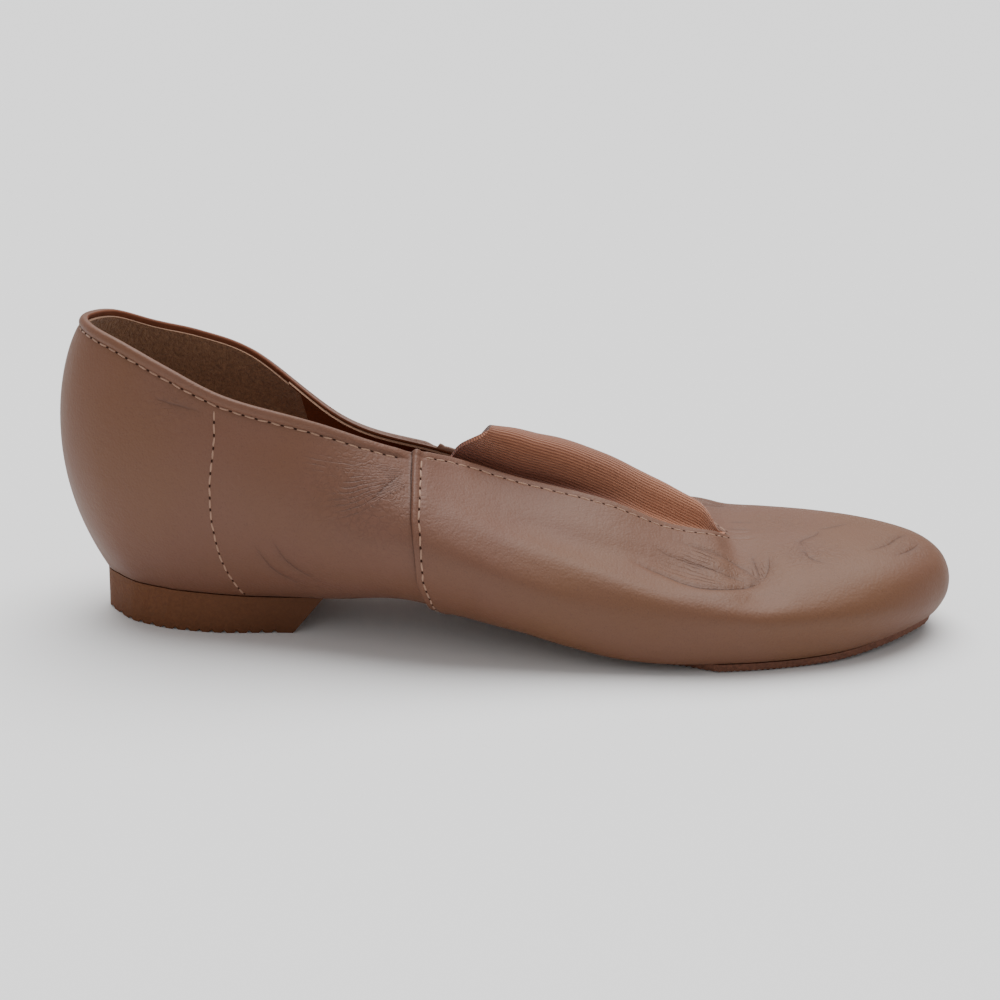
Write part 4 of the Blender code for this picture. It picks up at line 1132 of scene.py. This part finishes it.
def leather_material():
    """Soft tan leather with a fine grain, creases darkened as painted shade, and a satin finish."""
    def build():
        made, tree, shader = new_material("tan_leather", 0.58, Specular_IOR_Level=0.46)
        grain = place_group(tree, grain_group())
        base = tuple(colours().leather)
        cloud = calculate(tree, "MULTIPLY_ADD", grain.outputs["Cloud"], 2.6, -0.8, clamp=True)
        tone = tint(tree, cloud, scaled(base, 0.98, 0.92, 0.78), scaled(base, 1.04, 1.04, 1.10))
        place = tree.nodes.new("ShaderNodeTexCoord").outputs["Object"]
        patches = calculate(tree, "MULTIPLY_ADD", noise(tree, place, 17.0, 3.0, 0.5), 4.0, -1.75, clamp=True)
        tone = tint(tree, calculate(tree, "MULTIPLY", patches, 0.55), tone, scaled(base, 1.02, 1.00, 0.52))
        wander = noise(tree, place, 110.0, 3.0, 0.6)
        marks = {
            name: add_node(tree, "ShaderNodeAttribute", {"attribute_name": name}).outputs["Fac"]
            for name in ("crease", "crease_gap", "wrinkle", "fan_number", "fan")
        }
        gap = calculate(tree, "ADD", marks["crease_gap"], calculate(tree, "MULTIPLY", wander, 0.5))
        gap = calculate(tree, "ABSOLUTE", calculate(tree, "SUBTRACT", gap, 0.25))
        line = calculate(tree, "SUBTRACT", 1.0, calculate(tree, "MULTIPLY", gap, 2.5), clamp=True)
        crease = calculate(tree, "MULTIPLY", line, marks["crease"])
        number = calculate(tree, "ADD", marks["fan_number"], calculate(tree, "MULTIPLY", wander, 1.6))
        stripe = calculate(tree, "ABSOLUTE", calculate(tree, "SUBTRACT", calculate(tree, "FRACT", number), 0.5))
        stripe = calculate(tree, "SUBTRACT", 1.0, calculate(tree, "MULTIPLY", stripe, 6.0), clamp=True)
        broken = calculate(tree, "MULTIPLY_ADD", noise(tree, place, 95.0, 2.0, 0.5), 5.0, -1.9, clamp=True)
        fan = calculate(tree, "MULTIPLY", calculate(tree, "MULTIPLY", stripe, broken), marks["fan"])
        lines = calculate(tree, "MULTIPLY", grain.outputs["Wrinkles"], marks["wrinkle"])
        # Painted shade: the colour is darkened along the creases, the vamp's cut edge, the fans of fine creases and
        # the fine wrinkles.
        painted_crease_shade = 0.0
        for mask, share in ((marks["crease"], 0.30), (crease, 0.90), (fan, 0.50), (lines, 0.22)):
            painted_crease_shade = calculate(tree, "MULTIPLY_ADD", mask, share, painted_crease_shade, clamp=True)
        tone = tint(tree, painted_crease_shade, tone, scaled(base, 0.34, 0.26, 0.22))
        pores = calculate(tree, "MULTIPLY", grain.outputs["Pores"], 0.30)
        tone = tint(tree, pores, tone, scaled(base, 0.6))
        tree.links.new(tone, shader.inputs["Base Color"])
        rough = calculate(tree, "MULTIPLY_ADD", grain.outputs["Cloud"], 0.18, 0.50)
        tree.links.new(rough, shader.inputs["Roughness"])
        cut = 0.0
        for mask, depth in ((lines, 0.9), (fan, 2.2), (crease, 2.6)):
            cut = calculate(tree, "MULTIPLY_ADD", mask, depth, cut)
        add_bump(tree, shader, calculate(tree, "SUBTRACT", grain.outputs["Height"], cut), 0.00011, 0.85)
        return made
    return known("tan_leather", build)


def fuzzy_material(name, roughness, specks, mask, low, high, bump=None, **settings):
    """A dull material whose colour and height follow the fuzz; bump is a distance and a strength."""
    def build():
        made, tree, shader = new_material(name, roughness, **settings)
        fuzz = place_group(tree, fuzz_group(), Specks_per_metre=specks)
        tree.links.new(tint(tree, fuzz.outputs[mask], low, high), shader.inputs["Base Color"])
        if bump:
            add_bump(tree, shader, fuzz.outputs["Height"], *bump)
        return made
    return known(name, build)

def lining_material():
    """Thin brown leather lining, flesh side out."""
    base = tuple(colours().lining)
    return fuzzy_material(
        "brown_lining", 0.75, 1500.0, "Lumps", scaled(base, 0.8), scaled(base, 1.2), (0.00012, 0.8),
        Specular_IOR_Level=0.25,
    )

def counter_material():
    """Dark fuzzy lining round the heel."""
    base = tuple(colours().counter)
    return fuzzy_material(
        "fuzzy_lining", 0.95, 1100.0, "Specks", scaled(base, 0.35), scaled(base, 1.9, 1.8, 1.6), (0.0006, 1.0),
        Specular_IOR_Level=0.1, Sheen_Weight=0.25,
    )

def raw_edge_material():
    """Pale cut edge of the lining."""
    base = tuple(colours().edge)
    return fuzzy_material(
        "raw_edge", 0.85, 1800.0, "Specks", scaled(base, 0.7), scaled(base, 1.2), (0.00015, 1.0)
    )

def sock_material():
    """Insole covering, smooth and slightly worn."""
    def build():
        made, tree, shader = new_material("insole_sock", 0.7)
        grain = place_group(tree, grain_group(), Cells_per_metre=900.0)
        base = scaled(tuple(colours().lining), 1.25, 1.3, 1.35)
        tree.links.new(
            tint(tree, grain.outputs["Cloud"], scaled(base, 0.7), scaled(base, 1.2)), shader.inputs["Base Color"]
        )
        add_bump(tree, shader, grain.outputs["Height"], 0.0001, 0.8)
        return made
    return known("insole_sock", build)


def elastic_material():
    """Ribbed elastic: cords lengthwise with a fine weft between them, with painted shade low on its walls towards the
    rear and a painted highlight low at the front.
    """
    def build():
        made, tree, shader = new_material("ribbed_elastic", 0.72, Specular_IOR_Level=0.3, Sheen_Weight=0.2)
        uv = add_node(tree, "ShaderNodeUVMap", {"uv_map": "cloth"})
        split = tree.nodes.new("ShaderNodeSeparateXYZ")
        tree.links.new(uv.outputs["UV"], split.inputs["Vector"])
        place = tree.nodes.new("ShaderNodeTexCoord").outputs["Object"]
        wobble = calculate(tree, "MULTIPLY", noise(tree, place, 60.0, 2.0), 0.0004)
        rib_phase = calculate(tree, "ADD", split.outputs["Y"], wobble)
        rib_phase = calculate(tree, "MULTIPLY", rib_phase, 2 * math.pi / ELASTIC_RIBS)
        ribs = calculate(tree, "MULTIPLY_ADD", calculate(tree, "SINE", rib_phase), 0.5, 0.5)
        shift = calculate(tree, "MULTIPLY", calculate(tree, "SIGN", calculate(tree, "SINE", rib_phase)), 1.57)
        weft_phase = calculate(tree, "MULTIPLY_ADD", split.outputs["X"], 2 * math.pi / ELASTIC_WEFT, shift)
        weft = calculate(tree, "MULTIPLY_ADD", calculate(tree, "SINE", weft_phase), 0.5, 0.5)
        height = calculate(tree, "ADD", calculate(tree, "POWER", ribs, 0.8), calculate(tree, "MULTIPLY", weft, 0.35))
        base = tuple(colours().elastic)
        shade = calculate(tree, "MULTIPLY", calculate(tree, "POWER", ribs, 0.6), 1.0, clamp=True)
        tone = tint(tree, shade, scaled(base, 0.50, 0.40, 0.36), scaled(base, 1.06))
        speck = calculate(tree, "MULTIPLY", calculate(tree, "SUBTRACT", 1.0, weft), 0.16)
        tone = tint(tree, speck, tone, scaled(base, 0.5, 0.42, 0.38))
        middle = calculate(tree, "ABSOLUTE", split.outputs["Y"])
        foot, front = (
            add_node(tree, "ShaderNodeMapRange", {"interpolation_type": "SMOOTHSTEP"}, From_Min=low, From_Max=high)
            for low, high in ((0.006, 0.013), (0.030, 0.058))
        )
        tree.links.new(middle, foot.inputs["Value"])
        tree.links.new(split.outputs["X"], front.inputs["Value"])
        rear = calculate(tree, "SUBTRACT", 1.0, front.outputs["Result"])
        # Painted shade: low on the walls towards the rear, where the wall is undercut, the colour is darkened.
        under = calculate(tree, "MULTIPLY", calculate(tree, "MULTIPLY", foot.outputs["Result"], rear), 0.85)
        tone = tint(tree, under, tone, scaled(base, 0.36, 0.20, 0.16))
        # Painted highlight: low on the walls at the front, where the foot spreads out, the colour is lightened.
        flare = calculate(tree, "MULTIPLY_ADD", foot.outputs["Result"], 0.50, 0.35)
        flare = calculate(tree, "MULTIPLY", flare, front.outputs["Result"])
        tone = tint(tree, flare, tone, scaled(base, 1.75, 1.90, 2.05))
        tree.links.new(tone, shader.inputs["Base Color"])
        add_bump(tree, shader, height, 0.00022, 0.9)
        return made
    return known("ribbed_elastic", build)


def sole_material():
    """Rubber of the forefoot sole, dusty in its texture, its colour a darker brown than the heel's as painted shade.
    """
    base = tuple(colours().sole)
    # Painted shade: the base colour is a darker brown than the heel's rubber.
    return fuzzy_material(
        "brown_sole", 0.85, 900.0, "Specks", scaled(base, 0.45), scaled(base, 2.3, 2.1, 1.9), (0.0003, 1.0),
        Specular_IOR_Level=0.25,
    )

def heel_material():
    """Tan rubber heel, speckled, darker towards its front as painted shade."""
    def build():
        made, tree, shader = new_material("tan_heel", 0.72, Specular_IOR_Level=0.3)
        fuzz = place_group(tree, fuzz_group(), Specks_per_metre=1300.0)
        base = tuple(colours().heel)
        place = tree.nodes.new("ShaderNodeTexCoord")
        split = tree.nodes.new("ShaderNodeSeparateXYZ")
        tree.links.new(place.outputs["Object"], split.inputs["Vector"])
        low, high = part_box("heel")
        painted_front_shade = add_node(tree, "ShaderNodeMapRange", {"interpolation_type": "SMOOTHSTEP"})
        tree.links.new(split.outputs["X"], painted_front_shade.inputs["Value"])
        painted_front_shade.inputs["From Min"].default_value = float(low[0])
        painted_front_shade.inputs["From Max"].default_value = float(high[0])
        # Painted shade: the rubber darkens from the back of the heel to its front.
        along = tint(tree, painted_front_shade.outputs["Result"], scaled(base, 1.22, 1.18, 1.12), scaled(base, 0.72, 0.66, 0.62))
        tone = tint(tree, calculate(tree, "MULTIPLY", fuzz.outputs["Specks"], 0.7), scaled(base, 0.4), along)
        tree.links.new(tone, shader.inputs["Base Color"])
        add_bump(tree, shader, fuzz.outputs["Height"], 0.00018)
        return made
    return known("tan_heel", build)


def thread_material():
    """Pale sewing thread."""
    base = tuple(colours().thread)
    return fuzzy_material(
        "pale_thread", 0.7, 2500.0, "Lumps", scaled(base, 0.6, 0.55, 0.5), scaled(base, 1.15), Sheen_Weight=0.2
    )

def hole_material():
    """Shadow of a needle hole."""
    return fuzzy_material(
        "needle_hole_shade", 0.9, 1400.0, "Lumps", (0.020, 0.008, 0.005), (0.045, 0.020, 0.013),
        Specular_IOR_Level=0.05,
    )

# Rows of stitches on the leather: name, places as loop parameter and distance from the
# upper edge in millimetres. A place with a share of the depth instead is below 1.
SEWN_LINES = (
    ("topline_outer", (
        (0.0, 3.15), (1.0, 3.15), (2.0, 3.15), (3.0, 3.15), (4.0, 3.15), (5.0, 3.15), (5.86, 3.05),
    )),
    ("topline_inner", (
        (36.0, 3.15), (35.0, 3.15), (34.0, 3.15), (33.0, 3.15), (32.0, 3.15), (31.0, 3.1), (30.14, 3.0),
    )),
    ("throat_outer", (
        (6.30, 2.3), (7.0, 2.3), (8.0, 2.3), (9.0, 2.3), (10.0, 2.3), (11.0, 2.3), (11.6, 2.3), (12.0, 2.2),
    )),
    ("throat_inner", (
        (29.70, 2.3), (29.0, 2.3), (28.0, 2.3), (27.0, 2.3), (26.0, 2.3), (25.0, 2.3), (24.4, 2.3), (24.0, 2.2),
    )),
    ("counter_outer", (
        (3.93, 0.07), (3.95, 0.22), (3.90, 0.38), (3.90, 0.55), (4.00, 0.75), (4.15, 0.93), (4.19, 0.97),
    )),
    ("counter_inner", (
        (32.0, 0.07), (31.98, 0.22), (32.02, 0.38), (32.02, 0.55), (31.92, 0.75), (31.78, 0.93), (31.74, 0.97),
    )),
    ("vamp_outer", (
        (6.23, 0.05), (6.23, 0.30), (6.23, 0.55), (6.22, 0.80), (6.22, 0.98),
    )),
    ("vamp_inner", (
        (29.77, 0.05), (29.77, 0.30), (29.77, 0.55), (29.78, 0.80), (29.78, 0.98),
    )),
)


def sewn_path(skin, places):
    """Points and normals along a row of stitches, close together."""
    places = np.array(places, float)
    found = []
    for k in np.linspace(0.0, len(places) - 1, 24 * (len(places) - 1) + 1):
        loop, distance = (float(catmull(places[:, c], np.array([k]))[0]) for c in (0, 1))
        if places[:, 1].max() < 1.0:
            distance *= skin.last.strip(loop % skin.last.count)[2]
        else:
            distance *= MM
        found.append(skin.at(loop % skin.last.count, distance))
    points, normals = np.array([f[0] for f in found]), np.array([f[1] for f in found])
    return points, normals


def bead(centre, along, normal, length, width, height, segments, rings):
    """Points and faces of a rounded bead lying on a surface."""
    side = np.cross(normal, along)
    points, faces = [], []
    for i in range(rings + 1):
        lat = math.pi * i / rings
        for j in range(segments):
            turn = 2 * math.pi * j / segments
            points.append(
                centre + along * (-0.5 * length * math.cos(lat))
                + (side * 0.5 * width * math.cos(turn) + normal * height * math.sin(turn)) * math.sin(lat) ** 0.6
            )
    for i in range(rings):
        for j in range(segments):
            k = (j + 1) % segments
            faces.append((i * segments + j, i * segments + k, (i + 1) * segments + k, (i + 1) * segments + j))
    return points, faces


def build_stitches(skin):
    """The rows of stitches, each with a dark bead of painted shade for the needle hole at its end."""
    s = skin.last.s
    for name, places in SEWN_LINES:
        line, normals = sewn_path(skin, places)
        travel = travelled(line)
        count = max(2, round(travel[-1] / s.stitch_pitch))
        marks = (np.arange(count) + 0.5) * travel[-1] / count
        pitch = travel[-1] / count
        threads, hole_shades = ([], []), ([], [])
        for n, mark in enumerate(marks):
            centre, normal, ahead = (
                np.array([np.interp(m, travel, grid[:, c]) for c in range(3)])
                for m, grid in ((mark, line), (mark, normals), (mark + 0.4 * MM, line))
            )
            normal /= np.linalg.norm(normal)
            along = ahead - centre
            along -= normal * along.dot(normal)
            along /= np.linalg.norm(along)
            lean = 0.10 * math.sin(2.3 * n)
            along = along * math.cos(lean) + np.cross(normal, along) * math.sin(lean)
            length = pitch * (0.74 + 0.06 * math.sin(1.7 * n))
            low = centre - normal * THREAD_SINK
            add_bead(threads, bead(low, along, normal, length, s.thread, 0.5 * s.thread, 8, 8))
            end = np.array([np.interp(mark + 0.5 * pitch, travel, line[:, c]) for c in range(3)])
            # Painted shade: a dark bead lies where the needle hole is.
            add_bead(hole_shades, bead(end + normal * HOLE_LIFT, along, normal, *HOLE_SIZE, 10, 6))
        for kind, (points, faces), finish in (
            ("thread", threads, thread_material), ("hole_shades", hole_shades, hole_material)
        ):
            piece = mesh_object(f"{kind}_{name}", np.array(points), faces, [finish()])
            seat_on_body(piece, "leather")


def add_bead(pile, made):
    """Put one bead's points and faces on a pile."""
    start = len(pile[0])
    pile[0].extend(made[0])
    pile[1].extend(tuple(v + start for v in face) for face in made[1])


def add_light(name, kind, place, size, power):
    """A light that looks at the shoe from its place: an area with a size, or a sun with an angle."""
    data = bpy.data.lights.new(name, kind)
    data.energy = power
    if kind == "SUN":
        data.angle = size
    else:
        data.shape = "SQUARE"
        data.size = size
    lamp = bpy.data.objects.new(name, data)
    lamp.location = place
    lamp.rotation_euler = (-Vector(place)).to_track_quat("-Z", "Y").to_euler()
    bpy.context.scene.collection.objects.link(lamp)


def build_stage():
    """The pale floor, the soft studio light and the camera."""
    mesh = bpy.data.meshes.new("floor")
    corners = [(x * FLOOR_REACH, y * FLOOR_REACH, 0.0) for x, y in ((-1, -1), (1, -1), (1, 1), (-1, 1))]
    mesh.from_pydata(corners, [], [(0, 1, 2, 3)])
    made, tree, shader = new_material("pale_floor", 0.9, Specular_IOR_Level=0.1)
    shader.inputs["Base Color"].default_value = (*colours().floor, 1.0)
    mesh.materials.append(made)
    floor = bpy.data.objects.new("floor", mesh)
    floor.location.z = -FLOOR_SINK
    bpy.context.scene.collection.objects.link(floor)
    world = bpy.data.worlds.new("studio")
    world.use_nodes = True
    sky = world.node_tree
    ambient = sky.nodes["Background"]
    ambient.inputs["Color"].default_value = (1.0, 1.0, 1.0, 1.0)
    ambient.inputs["Strength"].default_value = SKY_LIGHT
    seen = add_node(sky, "ShaderNodeBackground", Color=(1.0, 1.0, 1.0, 1.0), Strength=SKY_SEEN)
    mix = sky.nodes.new("ShaderNodeMixShader")
    sky.links.new(sky.nodes.new("ShaderNodeLightPath").outputs["Is Camera Ray"], mix.inputs["Fac"])
    sky.links.new(ambient.outputs["Background"], mix.inputs[1])
    sky.links.new(seen.outputs["Background"], mix.inputs[2])
    sky.links.new(mix.outputs["Shader"], sky.nodes["World Output"].inputs["Surface"])
    bpy.context.scene.world = world
    add_light("overhead", "SUN", (0.05, 0.45, 1.4), math.radians(60), 4.5)
    add_light("front_fill", "AREA", (-0.4, -1.6, 0.9), 1.2, 2.0)
    camera = bpy.data.cameras.new("camera")
    camera.sensor_width = 36.0
    camera.lens = CAMERA_LENS
    camera.clip_start = 0.01
    view = bpy.data.objects.new("camera", camera)
    pitch, roll, yaw = CAMERA_TURNS
    view.matrix_world = (
        Matrix.Translation(in_row_frame(CAMERA_PLACE).tolist())
        @ Matrix.Rotation(yaw, 4, "Z")
        @ Matrix.Rotation(math.pi / 2 - pitch, 4, "X")
        @ Matrix.Rotation(roll, 4, "Z")
    )
    bpy.context.scene.collection.objects.link(view)
    bpy.context.scene.camera = view


class JAZZSHOE_OT_upper(bpy.types.Operator):
    """Build the leather upper"""

    bl_idname = "jazzshoe.upper"
    bl_label = "Leather upper"

    def execute(self, context):
        build_upper()
        return {"FINISHED"}


class JAZZSHOE_OT_stitches(bpy.types.Operator):
    """Sew the rows of stitches into the leather"""

    bl_idname = "jazzshoe.stitches"
    bl_label = "Stitches"

    def execute(self, context):
        build_stitches(leather_skin(shoe_last()))
        return {"FINISHED"}


class JAZZSHOE_OT_linings(bpy.types.Operator):
    """Build the linings of the heel and the quarters"""

    bl_idname = "jazzshoe.linings"
    bl_label = "Linings"

    def execute(self, context):
        build_linings()
        return {"FINISHED"}


class JAZZSHOE_OT_gusset(bpy.types.Operator):
    """Build the ribbed elastic gusset"""

    bl_idname = "jazzshoe.gusset"
    bl_label = "Elastic gusset"

    def execute(self, context):
        build_gusset()
        return {"FINISHED"}


class JAZZSHOE_OT_insole(bpy.types.Operator):
    """Build the insole"""

    bl_idname = "jazzshoe.insole"
    bl_label = "Insole"

    def execute(self, context):
        build_insole()
        return {"FINISHED"}


class JAZZSHOE_OT_soles(bpy.types.Operator):
    """Build the forefoot sole and the heel block"""

    bl_idname = "jazzshoe.soles"
    bl_label = "Soles"

    def execute(self, context):
        build_sole_patch()
        build_heel()
        return {"FINISHED"}


class JAZZSHOE_OT_stage(bpy.types.Operator):
    """Set the floor, the light and the camera"""

    bl_idname = "jazzshoe.stage"
    bl_label = "Stage"

    def execute(self, context):
        build_stage()
        return {"FINISHED"}


class JAZZSHOE_PT_panel(bpy.types.Panel):
    """The shoe's pieces, in the order in which they are built"""

    bl_idname = "JAZZSHOE_PT_panel"
    bl_label = "Jazz shoe"
    bl_space_type = "VIEW_3D"
    bl_region_type = "UI"
    bl_category = "Shoe"

    def draw(self, context):
        for operator in OPERATORS:
            self.layout.operator(operator.bl_idname)
        for group in (context.scene.jazz_shoe_sizes, context.scene.jazz_shoe_colours):
            box = self.layout.box()
            for key in group.__annotations__:
                box.prop(group, key)


OPERATORS = (
    JAZZSHOE_OT_upper, JAZZSHOE_OT_stitches, JAZZSHOE_OT_linings, JAZZSHOE_OT_gusset,
    JAZZSHOE_OT_insole, JAZZSHOE_OT_soles, JAZZSHOE_OT_stage,
)
CLASSES = (ShoeSizes, ShoeColours) + OPERATORS + (JAZZSHOE_PT_panel,)


def register():
    """Register the classes and hang the settings on the scene."""
    for item in CLASSES:
        bpy.utils.register_class(item)
    bpy.types.Scene.jazz_shoe_sizes = bpy.props.PointerProperty(type=ShoeSizes)
    bpy.types.Scene.jazz_shoe_colours = bpy.props.PointerProperty(type=ShoeColours)


def unregister():
    """Take the settings and the classes away again."""
    del bpy.types.Scene.jazz_shoe_colours
    del bpy.types.Scene.jazz_shoe_sizes
    for item in reversed(CLASSES):
        bpy.utils.unregister_class(item)


def main():
    """Build every piece."""
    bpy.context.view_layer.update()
    register()
    bpy.ops.jazzshoe.upper()
    bpy.ops.jazzshoe.stitches()
    bpy.ops.jazzshoe.linings()
    bpy.ops.jazzshoe.gusset()
    bpy.ops.jazzshoe.insole()
    bpy.ops.jazzshoe.soles()
    bpy.ops.jazzshoe.stage()


if __name__ == "__main__":
    main()
